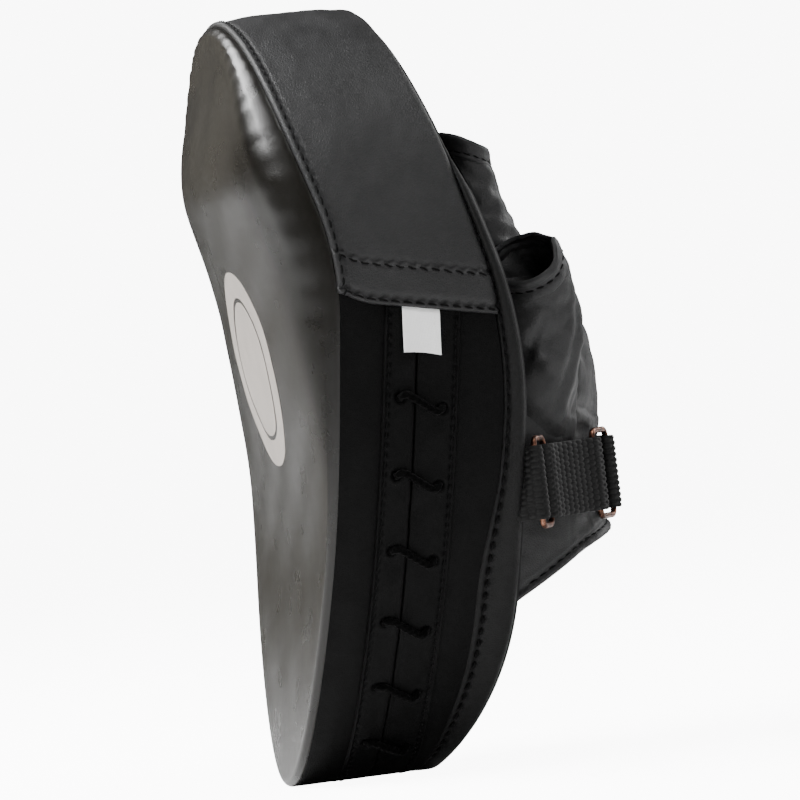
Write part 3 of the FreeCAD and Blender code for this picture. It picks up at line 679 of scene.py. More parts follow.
def inward_steps(count, first):
    """Fractions from the rim to the middle line that start finely and grow."""
    even = np.linspace(0.0, 1.0, count)
    return first * even + (1.0 - first) * even ** 2.2


def pad_layer(name, front, back, inset, material, slot, node):
    """A layer of the pad between two surfaces, each a depth function and an offset."""
    x, z, _ = rim_to_spine(inset, inward_steps(26, 0.35), 160)
    outer, inner = (np.stack([x, depth(x, z) + offset, z], axis=-1)
                    for depth, offset in (front, back))
    return skins(name, outer, inner, material, slot, node)


FRONT_FOAM, REAR_FOAM, BOARD, SKIN_GAP = 18.0, 10.0, 2.0, 0.7


def build_layers():
    """The foams and the board inside the leather."""
    inside, deep = LEATHER + SKIN_GAP, LEATHER + FRONT_FOAM
    under, behind = LEATHER + REAR_FOAM, LEATHER + REAR_FOAM + BOARD
    layers = [
        # piece, front surface, back surface, inset from the outline, material, slot and node
        ("front_foam_block", (front_depth, inside), (front_depth, deep), 6.5,
         front_foam_stuff, "eva_foam", "front_foam"),
        ("core_foam_block", (front_depth, deep + 0.1), (back_depth, -(behind + 0.1)), 6.5,
         core_foam_stuff, "core_foam", "core_foam"),
        ("stiffening_board", (back_depth, -behind), (back_depth, -(behind - BOARD)), 7.0,
         board_stuff, "board", "backing_board"),
        ("rear_foam_block", (back_depth, -(under - 0.1)), (back_depth, -inside), 6.5,
         rear_foam_stuff, "soft_foam", "rear_foam"),
    ]
    for layer in layers:
        block = pad_layer(*layer)


def seam_pucker(s, distance, reach=5.5):
    """Small gathers that run in from a sewn edge and fade with distance from it."""
    waves = np.sin(2.0 * math.pi * s / 9.3 + 1.8 * np.sin(s / 23.0))
    waves = waves + 0.6 * np.sin(2.0 * math.pi * s / 5.1 + 2.4 * np.sin(s / 17.0))
    return waves * bell(distance - 2.0, reach)


def build_face():
    """The domed striking face: one skin from the sewn edge, rolled over the shoulder."""
    x, z, s = rim_to_spine(0.0, inward_steps(96, 0.12))
    rim_x, rim_z = at(RIM_X, s)[:, None], at(RIM_Z, s)[:, None]
    distance = np.hypot(x - rim_x, z - rim_z)
    depth = front_depth(x, z) + rolled(distance, FACE_ROLL)
    lift = 1.1 * bell(distance - 6.0, 5.2) * smooth_step(distance, 0.0, 3.0)
    depth = depth - lift * smooth_step(z, 146.0, 190.0)
    depth = depth - 0.2 * smooth_step(z, 120.0, 190.0) * seam_pucker(s[:, None], distance)
    uneven = ripple(np.stack([x, depth, z], axis=-1), 46.0)
    skin = np.stack([x, depth - 0.25 * uneven * smooth_step(distance, 4.0, 20.0), z], axis=-1)
    tuck_x = rim_x - at(RIM_NX, s)[:, None] * FACE_TUCK
    tuck_z = rim_z - at(RIM_NZ, s)[:, None] * FACE_TUCK
    tuck = np.stack([tuck_x, skin[:, :1, 1] + LEATHER, tuck_z], axis=-1)
    grid = np.concatenate([tuck, skin], axis=1)
    piece = skins("striking_face", grid, grid + np.array([0.0, LEATHER, 0.0]), face_leather,
                  "face_leather", "face_panel", sharp=70.0)
    return piece


TARGET_RADIUS, TARGET_SHIFT, TARGET_HEIGHT = 33.0, 7.0, 140.0
RING_INSIDE, RING_OUTSIDE = 0.69, 0.735


def build_target(face):
    """The printed target: a disc and a ring with a fine gap between, laid on the face."""
    skin = BVHTree.FromObject(face, bpy.context.evaluated_depsgraph_get())

    def on_face(x, z):
        start = Vector(to_row_frame([(x, -200.0, z)])[0])
        hit = skin.ray_cast(start, Vector((0.0, 1.0, 0.0)))[0]
        return hit.y / MM + ORIGIN_DEPTH

    parts = []
    angles = np.linspace(0.0, 2.0 * math.pi, 120, endpoint=False)
    for low, high, rings in ((0.004, RING_INSIDE, 24), (RING_OUTSIDE, 1.0, 10)):
        radii = TARGET_RADIUS * np.linspace(low, high, rings)[:, None]
        x = TARGET_SHIFT + radii * np.cos(angles)
        z = TARGET_HEIGHT + radii * np.sin(angles)
        y = np.vectorize(on_face)(x, z)
        grid = np.stack([x, y - 0.16, z], axis=-1)
        parts.append(shell(grid[:, ::-1], 0.12, wrap_columns=True, lip=0.1))
    make_piece("target_disc", *join_parts(parts), target_ink, "target_print", ["target_print"])


# ------------------------------------------------------------------ side of the pad
BAND_LIFT = 1.5
BAND_ROWS = (2.4, 14.6)
BAND_FRONT_ROW = 3.0
WELT_PITCH = 4.4
WELT_STOPS = [
    # (height, how far before the rear seam the welt's stitches run)
    (0.0, 3.6), (15.0, 6.2), (34.0, 8.0), (48.0, 8.8), (61.0, 9.0), (74.0, 7.8), (87.0, 5.8),
    (100.0, 4.4), (118.0, 3.9), (145.0, 3.2), (168.0, 2.0), (186.0, 1.2), (205.0, 0.2),
    (255.0, 0.0),
]
WELT_SECTION = [
    # outset beyond the outline and depth before the rear seam, round the welt
    (-0.6, 5.4), (0.35, 5.0), (0.75, 4.5), (0.55, 3.9), (1.0, 3.3), (1.6, 2.4),
    (2.1, 1.4), (2.2, 0.3), (1.5, -0.9), (0.2, -1.7), (-2.0, -2.1),
]
# depth of the welt's stitches, the heights over which it goes under the band, and its last stitch
WELT_STITCHED, WELT_HIDDEN, WELT_TOP = 3.9, (186.0, 210.0), 196.0
BACK_THICK = 1.2


def welt_reach(s):
    """How far before the rear seam the welt is stitched down, at a place on the rim."""
    heights, reach = np.array(WELT_STOPS).T
    z = at(RIM_Z, s)
    return sum(np.interp(z + shift, heights, reach) for shift in (-6.0, -2.0, 2.0, 6.0)) / 4.0


def wall_grid(low, high, outset, across, along, start, mirrored=False):
    """Side surface between two depth lines; start says where each column begins on the rim.

    outset(s, depth, from_low, from_high, from_begin, from_end) moves each point out of the outline."""
    columns = []
    for v in across:
        depth_table = low + (high - low) * v
        begin, end = start(depth_table)
        s = begin + (end - begin) * along
        depth = at(depth_table, s)
        columns.append((s, depth, depth - at(low, s), at(high, s) - depth,
                        np.abs(s - begin), np.abs(end - s)))
    places = np.array(columns).transpose(1, 2, 0)
    s, depth = places[:2]
    return side_point(RIM_LENGTH - s if mirrored else s, depth, outset(*places))


def band_outset(s, depth, from_front, from_rear, from_begin, from_end):
    """The top band: rolled edges, a hem between two stitch rows and a rounded rear corner."""
    edge = np.minimum(from_begin, from_end)
    hidden = welt_reach(s) + 0.7
    out = BAND_LIFT + 0.9 * smooth_step(from_front, 2.0, 14.0) * smooth_step(from_rear, 2.0, 14.0)
    out = out - rolled(edge, 1.3) - rolled(from_front, 1.2)
    out = out - 1.3 * rolled(from_rear - hidden, 3.0)
    puffed = smooth_step(edge, BAND_ROWS[0], BAND_ROWS[0] + 3.0)
    puffed = puffed * (1.0 - smooth_step(edge, BAND_ROWS[1] - 3.0, BAND_ROWS[1]))
    out = out + 0.35 * puffed + 0.35 * bell(edge - 0.9, 1.0)
    swing = 0.6 * np.cos(2.0 * math.pi * depth / STITCH_PITCH + 0.8)
    for row in BAND_ROWS:
        out = out - 1.15 * stitch_beat(depth, 0.7) * bell(edge - row + swing, 0.85)
    out = out - 0.6 * stitch_beat(s, 0.75) * bell(from_front - BAND_FRONT_ROW, 0.8)
    out = out + 0.3 * bell(from_front - 1.4, 1.0)
    out = out + 0.22 * flat_ripple(s, depth, 31.0) * smooth_step(from_front, 4.0, 10.0)
    creases = flat_ripple(s * 0.5, depth * 1.6, 12.0, 3.0)
    tucked = 1.0 - smooth_step(from_rear, hidden - 0.6, hidden + 1.0)
    return out + 0.10 * creases * smooth_step(from_front, 4.0, 12.0) - 2.4 * tucked


def build_band():
    """The charcoal band over the fingers' end, and its three rows of stitches."""
    low = FRONT_SEAM + FACE_ROLL - 0.2

    def start(depth_table):
        begin = band_edge_place(depth_table)
        behind = float(np.interp(begin, RIM_S, depth_table - low))
        begin += 2.6 * bell(behind, 6.0)
        return begin, RIM_LENGTH - begin

    grid = wall_grid(low, REAR_SEAM + 1.2, band_outset, mixed_steps(72, 0.55),
                     mixed_steps(330, 0.82), start)
    wall("top_band_leather", grid, 1.2, band_leather, "band_leather", "top_band")
    columns = np.linspace(0.05, 0.95, 60) * (grid.shape[1] - 1)
    rows = [inset_places(grid, row, columns, last) for row in BAND_ROWS for last in (False, True)]
    parts = [stitch_row(*sampled(grid, places, columns)) for places in rows]
    sewn("band_stitching", [*parts, side_stitches(grid, BAND_FRONT_ROW)], "band_leather")


def below_band(depth_table):
    """From the heel up the thumb side to just under the band."""
    return 0.0, band_edge_place(depth_table) + 4.6


def strip_outset(roll_low, roll_high, bulge):
    """An outset function for a plain strip with rolled edges."""
    def outset(s, depth, from_low, from_high, *_):
        middle = smooth_step(from_low, 0.0, 8.0) * smooth_step(from_high, 0.0, 8.0)
        edges = rolled(from_low, roll_low) + rolled(from_high, roll_high)
        return (bulge + 0.16 * flat_ripple(s, depth, 27.0, 1.0)) * middle - edges
    return outset


def slit_line(shift):
    return SLIT_DEPTH + SLIT_SLOPE * RIM_Z + shift


def build_side_strips():
    """Near-black strips before and behind the lacing placket, and the whole far side."""
    front, rear = FRONT_SEAM + FACE_ROLL - 0.3, REAR_SEAM - welt_reach(RIM_S) - 0.9
    strips = [
        # piece, node, its two depth lines, its rolls and bulge, columns, and if on the far side
        ("side_strip_front", "front_side_strip", front, slit_line(PLACKET_FRONT + 1.5),
         (1.2, 0.4, 0.5), 34, False),
        ("side_strip_rear", "rear_side_strip", slit_line(PLACKET_REAR - 1.5), rear,
         (0.4, 0.9, 0.5), 34, False),
        ("side_wall_far", "far_side_wall", front, rear, (1.2, 0.9, 0.6), 60, True),
    ]
    for name, node, low, high, shape, columns, far in strips:
        grid = wall_grid(low, high, strip_outset(*shape), mixed_steps(columns, 0.5),
                         np.linspace(0.0, 1.0, 190), below_band, mirrored=far)
        wall(name, grid[:, ::-1] if far else grid, 1.4, side_leather, "side_leather", node, 40.0)


LACE_RADIUS = 1.25
EYELET_FRONT, EYELET_REAR, LACE_DROP = 5.2, 9.2, 5.0
LACE_FIRST, LACE_PITCH, LACE_COUNT = 125.0, 25.0, 6
FLAP_LIFT = 0.9


def eyelet_places():
    """Rim place and depth of each pair of lace holes, from the top down."""
    pairs = []
    for number in range(LACE_COUNT):
        front = float(rim_place(LACE_FIRST)) - LACE_PITCH * number
        rear = front - LACE_DROP
        pairs.append(((front, at(slit_line(0.0), front) - EYELET_FRONT),
                      (rear, at(slit_line(0.0), rear) + EYELET_REAR)))
    return pairs


EYELETS = eyelet_places()


def slit_pull(s):
    """How far the slit gapes: pulled nearly shut at each crossing, open between."""
    nearest = np.full(np.shape(s), 1e9)
    for (front, _), (rear, _) in EYELETS:
        nearest = np.minimum(nearest, np.abs(s - (front + rear) / 2.0))
    return 0.05 * smooth_step(nearest, 2.0, 11.0)


def dimples(s, depth):
    """Dents where the lace dives through the leather, each with a slightly raised rim."""
    out = np.zeros(np.shape(s))
    for pair in EYELETS:
        for hole_s, hole_depth in pair:
            away = np.hypot(s - hole_s, depth - hole_depth)
            out = out - 1.5 * bell(away, 1.35) + 0.22 * bell(away - 2.4, 0.9)
    return out


def build_flaps():
    """The two folded placket flaps that the lace closes, with their fine topstitching."""
    pull, gap = slit_pull(RIM_S), SLIT_GAP / 2.0
    edges = {
        "front": (slit_line(PLACKET_FRONT), slit_line(-gap) - pull),
        "rear": (slit_line(gap) + pull, slit_line(PLACKET_REAR)),
    }
    stitches = []
    for side, (low, high) in edges.items():
        before = side == "front"

        def outset(s, depth, from_low, from_high, *_):
            folded, inner = (from_low, from_high) if before else (from_high, from_low)
            out = FLAP_LIFT - rolled(folded, 0.7) - rolled(inner, 0.9)
            beat = stitch_beat(s, 0.65, FLAP_PITCH)
            out = out + 0.5 * bell(folded - 0.6, 0.5) - 0.6 * beat * bell(folded - 1.9, 0.6)
            uneven = flat_ripple(s, depth, 16.0, 2.0) * smooth_step(folded, 3.0, 6.0)
            edge = (0.3 if before else -0.25) * bell(inner - 1.4, 1.2)
            return out + 0.34 * uneven + edge + dimples(s, depth)

        grid = wall_grid(low, high, outset, mixed_steps(40, 0.35), np.linspace(0, 1, 520),
                         below_band)
        wall("placket_flap_" + side, grid, 1.3, side_leather, "side_leather",
             "lacing_flap_" + side, 40.0)
        stitches.append(side_stitches(grid, 2.4, not before, pitch=FLAP_PITCH, radius=0.27))
    sewn("placket_stitching", stitches, "side_leather")


def build_tongue():
    """The cloth tongue that lies behind the slit."""
    grid = wall_grid(slit_line(-8.6), slit_line(11.0),
                     lambda s, depth, *_: -4.0 + 0.3 * flat_ripple(s, depth, 18.0, 5.0),
                     np.linspace(0, 1, 16), np.linspace(0, 1, 120),
                     lambda depth_table: (12.0, band_edge_place(depth_table) - 2.0))
    tongue = wall("slit_tongue", grid, 0.9, tongue_cloth, "tongue_fabric", "lacing_tongue", 40.0)


def build_lace():
    """One braided lace: an S over the slit at each pair of holes, then down behind the flaps."""
    proud, sunk = FLAP_LIFT + LACE_RADIUS, -2.4
    route = []
    for (front_s, front_y), (rear_s, rear_y) in EYELETS:
        span = rear_y - front_y
        stops = [
            (front_s - 1.2, front_y - 0.2, sunk), (front_s - 0.5, front_y, -0.2),
            (front_s + 0.5, front_y + 0.9, proud - 0.35), (front_s + 0.6, front_y + 2.6, proud + 0.1),
            ((front_s + rear_s) / 2.0, front_y + span * 0.5, proud + 0.35),
            (rear_s - 0.6, rear_y - 2.6, proud + 0.1), (rear_s - 0.5, rear_y - 0.9, proud - 0.35),
            (rear_s + 0.5, rear_y, -0.2), (rear_s + 0.2, rear_y - 0.8, sunk),
            (rear_s - 0.3 * LACE_PITCH, rear_y - span * 0.5, sunk - 0.2),
        ]
        route += [side_point(s, depth, out) for s, depth, out in stops]
    path = smooth_path(np.array(route[:-1]), 10)
    path = resample(path, int(run_lengths(path)[-1] / 0.35))

    def braid(row, angle):
        one = np.cos(3.0 * angle + row * 0.95)
        two = np.cos(3.0 * angle - row * 0.95)
        return 0.88 + 0.16 * np.maximum(one, two)

    points, faces = tube(path, LACE_RADIUS, sides=18, twist=braid)
    make_piece("braided_lace", points, faces, lace_yarn, "lace", ["side_lace"])


LABEL_WIDTH, LABEL_LENGTH, LABEL_FRONT, LABEL_THICK = 12.0, 14.6, 37.4, 0.35


def build_label():
    """The blank tape label that hangs out from under the band, curling a little."""
    across = np.linspace(0.0, 1.0, 23)[:, None]
    down = np.linspace(0.0, 1.0, 30)[None, :]
    depth = LABEL_FRONT + LABEL_WIDTH * across + 1.3 * (1.0 - down) - 0.2
    hang = (LABEL_LENGTH + 1.4) * down + 0.4 * np.sin(math.pi * across) * (1.0 - 2.0 * down)
    s = rim_place(BAND_EDGE + BAND_SLOPE * depth) + 1.4 - hang
    lift = 1.15 + 0.9 * smooth_step(hang, 0.5, 3.0) + 1.3 * down ** 2 * (1.0 - 0.4 * across)
    lift = lift - 0.35 * np.sin(math.pi * across) * down
    tab = wall("size_tab", side_point(s, depth, lift), LABEL_THICK, satin, "label", "size_label",
               40.0, lip=0.2)


def build_back():
    """The back leather, folded round the pad's rear edge as a welt and topstitched there."""
    s = np.linspace(0.0, RIM_LENGTH, 520, endpoint=False)
    rear, reach = at(REAR_SEAM, s), welt_reach(s)
    under_band = smooth_step(at(RIM_Z, s), *WELT_HIDDEN)
    wider = reach / WELT_STITCHED - 1.0
    beat = stitch_beat(s, 0.6, WELT_PITCH)
    rings = []
    for out, before in smooth_path(WELT_SECTION, 4):
        swell = 0.5 * wider * bell(before - 2.2, 1.2)
        shape = out - 0.8 * beat * bell(before - WELT_STITCHED, 0.6) + swell - under_band * 3.4
        spread = 1.0 + wider * smooth_step(before, 0.0, WELT_STITCHED)
        turned_in = 1.0 - 0.9 * under_band * smooth_step(-before, 0.0, 0.8)
        rings.append(side_point(s, rear - before * spread * turned_in, shape))
    share = inward_steps(44, 0.22)[1:]
    edge = side_point(s, rear, -2.0)
    edge_x, edge_z = edge[:, :1], edge[:, 2:]
    x = edge_x * (1.0 - share)
    z = edge_z + (np.clip(edge_z, SPINE_LOW, SPINE_HIGH) - edge_z) * share
    away = np.hypot(x - edge_x, z - edge_z)
    lip = 1.65 * (1.0 - 0.95 * under_band)[:, None] * (1.0 - smooth_step(away, 0.0, 6.0))
    depth = back_depth(x, z) + 0.45 * (1.0 - under_band[:, None]) + lip
    flat = np.stack([x, depth, z], axis=-1)
    flat[..., 1] += 0.3 * ripple(flat, 34.0, 7.0) * smooth_step(away, 2.0, 12.0)
    grid = np.concatenate([np.stack(rings, axis=1), flat], axis=1)
    inner = grid - grid_normals(grid, wrap_rows=True) * BACK_THICK
    inner[:, len(rings) :] = flat - np.array([0.0, BACK_THICK, 0.0])
    # the back panel and welt wear the lighter copy of the side leather: painted light
    skins("back_leather", grid, inner, back_leather, "side_leather", "back_panel", sharp=70.0)
    top = float(rim_place(WELT_TOP))
    walk = np.linspace(-top, top, 900)
    line = at(REAR_SEAM, walk) - welt_reach(walk)
    sunk = 3.4 * smooth_step(at(RIM_Z, walk), *WELT_HIDDEN)
    sunk = sunk + 1.3 * (1.0 - smooth_step(at(RIM_Z, walk), 1.0, 9.0))
    path = side_point(walk, line, 0.25 - sunk)
    out = side_point(walk, line, 1.25 - sunk) - path
    stitches = stitch_row(path, out, pitch=WELT_PITCH, fill=0.66, radius=0.58, sink=0.5)
    sewn("welt_stitching", [stitches], "side_leather")


# ------------------------------------------------------------------ hand pocket
ARCH_HALF, ARCH_BASE, ARCH_TOP, ARCH_POWER = 60.0, 70.0, 110.0, 2.4
CUFF_EDGE, CUFF_SLOPE = 54.2, 0.525
COVER_LOW, KNUCKLE_TOP = 101.0, 159.5
FINGER_PITCH, FINGER_RADIUS = 24.0, 11.7
SLEEVE_BASE = 148.0
FINGERS = {
    # column, tip height, then depth of the middle and half thickness at base, middle and tip
    "index": (1.5, 206.0, (84.5, 77.6, 74.6), (13.6, 9.0, 7.8)),
    "middle": (0.5, 206.0, (87.0, 81.0, 75.6), (14.2, 11.4, 8.6)),
    "ring": (-0.5, 203.0, (87.0, 81.0, 75.6), (14.2, 11.2, 8.4)),
    "little": (-1.5, 195.0, (84.5, 78.4, 75.4), (13.6, 9.4, 8.0)),
}
KNUCKLE = 157.3
HEM = 7.0
KNUCKLE_SEAM = 3.2


def curve_value(place, stops):
    """A smooth value through (place, value) stops."""
    path = smooth_path(stops, 12)
    return np.interp(place, path[:, 0], path[:, 1])


def even_arch(count, half=ARCH_HALF, top=ARCH_TOP, grow=0.0):
    """The pocket's arch as evenly spaced points from the thumb side to the far side."""
    turn, power = np.linspace(0.0, math.pi, 900), 2.0 / ARCH_POWER
    x = np.sign(np.cos(turn)) * np.abs(np.cos(turn)) ** power * (half + grow)
    y = ARCH_BASE + np.abs(np.sin(turn)) ** power * (top + grow - ARCH_BASE)
    return resample(np.column_stack([x, y]), count)


def creased(a, b, creases):
    """Depth of folds drawn as (start, end, width, depth) segments in a surface's own plane."""
    total = np.zeros(np.shape(a))
    for (a0, b0), (a1, b1), width, depth in creases:
        run = np.array([a1 - a0, b1 - b0])
        length = np.hypot(*run)
        t = ((a - a0) * run[0] + (b - b0) * run[1]) / length ** 2
        near = np.clip(t, 0.0, 1.0)
        away = np.hypot(a - a0 - near * run[0], b - b0 - near * run[1])
        side = ((a - a0) * run[1] - (b - b0) * run[0]) / length
        fade = 0.35 + 0.65 * np.sin(math.pi * np.clip(t, 0.0, 1.0))
        valley = -bell(away, width) * fade
        ridge = 0.7 * bell(away - 1.5 * width, width * 1.1) * fade * (0.7 + 0.3 * np.sign(side))
        total = total + depth * (valley + ridge)
    return total


def sleeve_centre(name, z):
    """Middle depth and half thickness of a finger sleeve at height z."""
    _, tip, depths, thick = FINGERS[name]
    places = (KNUCKLE, (KNUCKLE + tip) / 2.0, tip)
    below = SLEEVE_BASE - 4.0
    depth = curve_value(z, [(below, depths[0] + 0.8), *zip(places, depths), (tip + 12.0, depths[2])])
    half = curve_value(z, [(below, thick[0] + 0.4), *zip(places, thick), (tip + 12.0, thick[2])])
    return depth, half


def settled(grid, wrap_columns=False, step=4, pressure=1.2, cap=2.6):
    """Let a soft wall settle as cloth held at its two ends, and carry its folds to the grid."""
    rows, columns = grid.shape[:2]
    i = np.round(np.linspace(0, rows - 1, rows // step)).astype(int)
    j = np.round(np.linspace(0, columns - 1, columns // step)).astype(int)
    if wrap_columns:
        j = np.arange(0, columns, step)
    start = to_row_frame(grid[np.ix_(i, j)].reshape(-1, 3))
    mesh = bpy.data.meshes.new("settling")
    mesh.from_pydata(start.tolist(), [], grid_faces(len(i), len(j), False, wrap_columns).tolist())
    piece = bpy.data.objects.new("settling", mesh)
    scene = bpy.context.scene
    scene.collection.objects.link(piece)
    held = piece.vertex_groups.new(name="held")
    numbers = np.arange(len(i) * len(j)).reshape(len(i), len(j))
    ends = [numbers[0], numbers[-1]]
    if not wrap_columns:
        ends += [numbers[:, 0], numbers[:, -1]]
    held.add(sorted({int(k) for end in ends for k in end}), 1.0, "REPLACE")
    cloth = piece.modifiers.new("settling", "CLOTH")
    for key, value in CLOTH_SETTINGS.items():
        setattr(cloth.settings, key, value)
    cloth.settings.uniform_pressure_force = pressure
    cloth.settings.effector_weights.gravity = 0.0
    cloth.point_cache.frame_end = SETTLE_FRAMES
    for moment in range(1, SETTLE_FRAMES + 1):
        scene.frame_set(moment)
    after = piece.evaluated_get(bpy.context.evaluated_depsgraph_get()).data
    flat = np.zeros(start.size)
    after.vertices.foreach_get("co", flat)
    moved = ((flat.reshape(start.shape) - start) / MM).reshape(len(i), len(j), 3)
    length = np.linalg.norm(moved, axis=2, keepdims=True)
    moved = moved * np.minimum(1.0, cap / np.maximum(length, 1e-9))
    bpy.data.objects.remove(piece)
    scene.frame_set(1)
    if wrap_columns:
        moved = np.concatenate([moved, moved[:, :1]], axis=1)
        j = np.append(j, columns)
    wide = np.stack([looked_up(np.arange(columns), j, line) for line in moved])
    full = np.stack([looked_up(np.arange(rows), i, wide[:, c]) for c in range(columns)], axis=1)
    return grid + smoothed(full, step, wrap_columns)


def smoothed(field, reach, wrap_columns):
    """A field of shifts blurred along both ways of its grid, its ends kept."""
    kernel = np.exp(-(np.arange(-reach, reach + 1) / (0.55 * reach)) ** 2)
    kernel = kernel / kernel.sum()
    for axis in (0, 1):
        mode = "wrap" if axis == 1 and wrap_columns else "edge"
        pads = [(reach, reach) if a == axis else (0, 0) for a in range(3)]
        padded = np.pad(field, pads, mode=mode)
        field = np.apply_along_axis(lambda v: np.convolve(v, kernel, mode="valid"), axis, padded)
    return field


SETTLE_FRAMES = 20
CLOTH_SETTINGS = dict(quality=6, mass=0.05, bending_stiffness=0.4, vertex_group_mass="held",
                      shrink_min=-0.035, use_pressure=True)
COVER_CREASES = [
    # places are (distance round the arch from the thumb side, height)
    ((18.0, 150.0), (34.0, 121.0), 2.6, 1.3), ((33.0, 152.0), (44.0, 128.0), 3.0, 1.2),
    ((27.0, 118.0), (52.0, 112.0), 2.4, 1.0), ((52.0, 146.0), (66.0, 120.0), 3.4, 1.0),
    ((60.0, 112.0), (84.0, 118.0), 2.8, 0.9), ((88.0, 148.0), (80.0, 126.0), 3.2, 0.9),
    ((104.0, 150.0), (112.0, 124.0), 3.0, 1.0), ((112.0, 116.0), (136.0, 110.0), 2.5, 0.9),
    ((128.0, 148.0), (140.0, 118.0), 2.8, 1.0),
]


def build_cover():
    """The back-of-hand panel: arched, drawn in at the knuckles and creased by the thumb."""
    rows, columns = 92, 190
    z = np.linspace(COVER_LOW, KNUCKLE_TOP, rows)
    half = curve_value(z, [(90, 60.0), (110, 60.0), (138, 57.8), (158, 52.0), (170, 46.5)])
    top = curve_value(z, [(90, 110.0), (110, 111.6), (136, 112.0), (158, 103.5), (170, 97.0)])
    grid = np.zeros((rows, columns, 3))
    for i in range(rows):
        grid[i, :, :2] = even_arch(columns, half[i], top[i])
        grid[i, :, 2] = z[i]
    around = np.linspace(0.0, 1.0, columns)[None, :] * 178.0
    high = z[:, None] + 0.0 * around
    out = creased(around, high, COVER_CREASES)
    out = out + 0.35 * ripple(grid, 23.0, 9.0) + 0.14 * ripple(grid, 8.0, 4.0)
    edge = KNUCKLE_TOP - high
    out = out - 0.5 * bell(edge - KNUCKLE_SEAM, 0.8) + 0.3 * bell(edge - 1.0, 1.0)
    grid = settled(over_fingers(pushed(grid, out), z), step=5)
    cover = wall("hand_cover_leather", grid, 1.5, glove_leather, "glove_leather", "hand_cover")
    row = int(np.argmin(np.abs(z - (KNUCKLE_TOP - KNUCKLE_SEAM))))
    path, out = grid[row, 8:-8], grid_normals(grid)[row, 8:-8]
    sewn("knuckle_stitching", [stitch_row(path, out, radius=0.3)], "glove_leather")


def over_fingers(grid, z):
    """Push the panel out over the roots of the finger sleeves near its upper edge."""
    moved = grid.copy()
    for i, height in enumerate(z):
        reach = smooth_step(height, 138.0, 154.0)
        if reach <= 0.0:
            continue
        shift = np.zeros(grid.shape[1])
        for name, (column, _, _, _) in FINGERS.items():
            middle, half = sleeve_centre(name, max(height, SLEEVE_BASE))
            dx = grid[i, :, 0] - column * FINGER_PITCH
            dy = grid[i, :, 1] - middle
            wide, deep = FINGER_RADIUS + 1.0, half + 1.0
            level = np.sqrt((dx / wide) ** 2 + (dy / deep) ** 2)
            inside = (dy > 0.0) & (level < 1.0)
            needed = np.where(inside, deep * np.sqrt(np.maximum(0, 1 - (dx / wide) ** 2)) - dy, 0)
            shift = np.maximum(shift, needed)
        kernel = np.exp(-np.linspace(-2.0, 2.0, 9) ** 2)
        shift = np.convolve(shift, kernel / kernel.sum(), mode="same")
        moved[i, :, 1] += shift * reach
    return moved


def build_cuff():
    """The wrist cuff with its slanted, topstitched lower edge, tucked under the panel."""
    rows, columns = 90, 210
    ring = even_arch(columns, grow=-0.4)
    share = np.linspace(0.0, 1.0, rows) ** 1.25
    low = CUFF_EDGE + CUFF_SLOPE * (ring[:, 1] - ARCH_BASE)
    high = COVER_LOW + 4.0
    z = low[None, :] + (high - low)[None, :] * share[:, None]
    grid = np.concatenate([np.broadcast_to(ring[None], (rows, columns, 2)), z[..., None]], axis=2)
    edge = z - low[None, :]
    out = 0.45 * bell(edge - 1.0, 1.0) - 0.55 * bell(edge - 2.8, 0.8) + 0.2 * bell(edge - 4.6, 1.0)
    out = out + 0.45 * ripple(grid, 25.0, 6.0) * smooth_step(edge, 3.0, 14.0)
    out = out + 0.12 * ripple(grid, 8.0, 2.0) - 0.9 * smooth_step(z, high - 24.0, high - 12.0)
    out = out + 4.0 * (1.0 - smooth_step(edge, 0.0, 8.0)) * smooth_step(ring[:, 1], 94.0, 107.0)
    grid = pushed(grid, out)
    wall("cuff_leather", grid, 1.6, glove_leather, "glove_leather", "wrist_cuff")
    inside = np.arange(6, columns - 6)
    path, normals = sampled(grid, inset_places(grid, 2.8, inside), inside)
    sewn("cuff_stitching", [stitch_row(path, normals, radius=0.24, sink=0.2)], "glove_leather")


def build_finger(name):
    """One finger sleeve, open at the tip, and its separate folded hem."""
    column, tip, _, _ = FINGERS[name]
    angle = np.linspace(0.0, 2.0 * math.pi, 72, endpoint=False)[None, :]

    def tube_grid(z, grow):
        depth, half = sleeve_centre(name, z)
        x = column * FINGER_PITCH + (FINGER_RADIUS + grow) * np.cos(angle)
        y = depth + (half + grow) * np.sin(angle)
        high = z - 0.42 * smooth_step(z, tip - 34.0, tip) * (y - depth)
        return np.stack(np.broadcast_arrays(x, y, high), axis=-1)

    z = np.linspace(SLEEVE_BASE, tip - HEM + 1.5, 84)[:, None]
    grid = tube_grid(z, 0.0)
    seed = column * 2.3
    fold = np.sin((z + 2.5 * np.cos(angle + seed)) * 2.0 * math.pi / 10.5 + seed)
    fold = fold * bell(z - (KNUCKLE + 14.0), 14.0) * np.clip(np.sin(angle), 0.0, 1.0)
    out = 0.42 * fold + 0.3 * ripple(grid, 15.0, seed) + 0.1 * ripple(grid, 6.0, seed)
    grid = settled(pushed(grid, out, True), wrap_columns=True, pressure=0.8, cap=1.4)
    wall(name + "_finger_sleeve", grid, 1.3, glove_leather, "glove_leather", name + "_sleeve",
         wrap=True)
    z = (tip - HEM + HEM * np.linspace(0.0, 1.0, 22))[:, None]
    grid = tube_grid(z, 0.55)
    up = z - (tip - HEM)
    out = -0.45 * rolled(up, 0.8) - 0.3 * bell(up - 1.9, 0.6) + 0.1 * ripple(grid, 6.0, seed)
    grid = pushed(grid, out + 0.25 * bell(up - HEM + 1.2, 1.2), True)
    wall(name + "_finger_hem", grid, 1.9, hem_leather, "hem_leather", name + "_hem", wrap=True,
         lip=0.45)
    stitches = ring_stitches(grid, 6, pitch=3.4, radius=0.22, sink=0.15)
    sewn(name + "_finger_stitching", [stitches], "hem_leather")


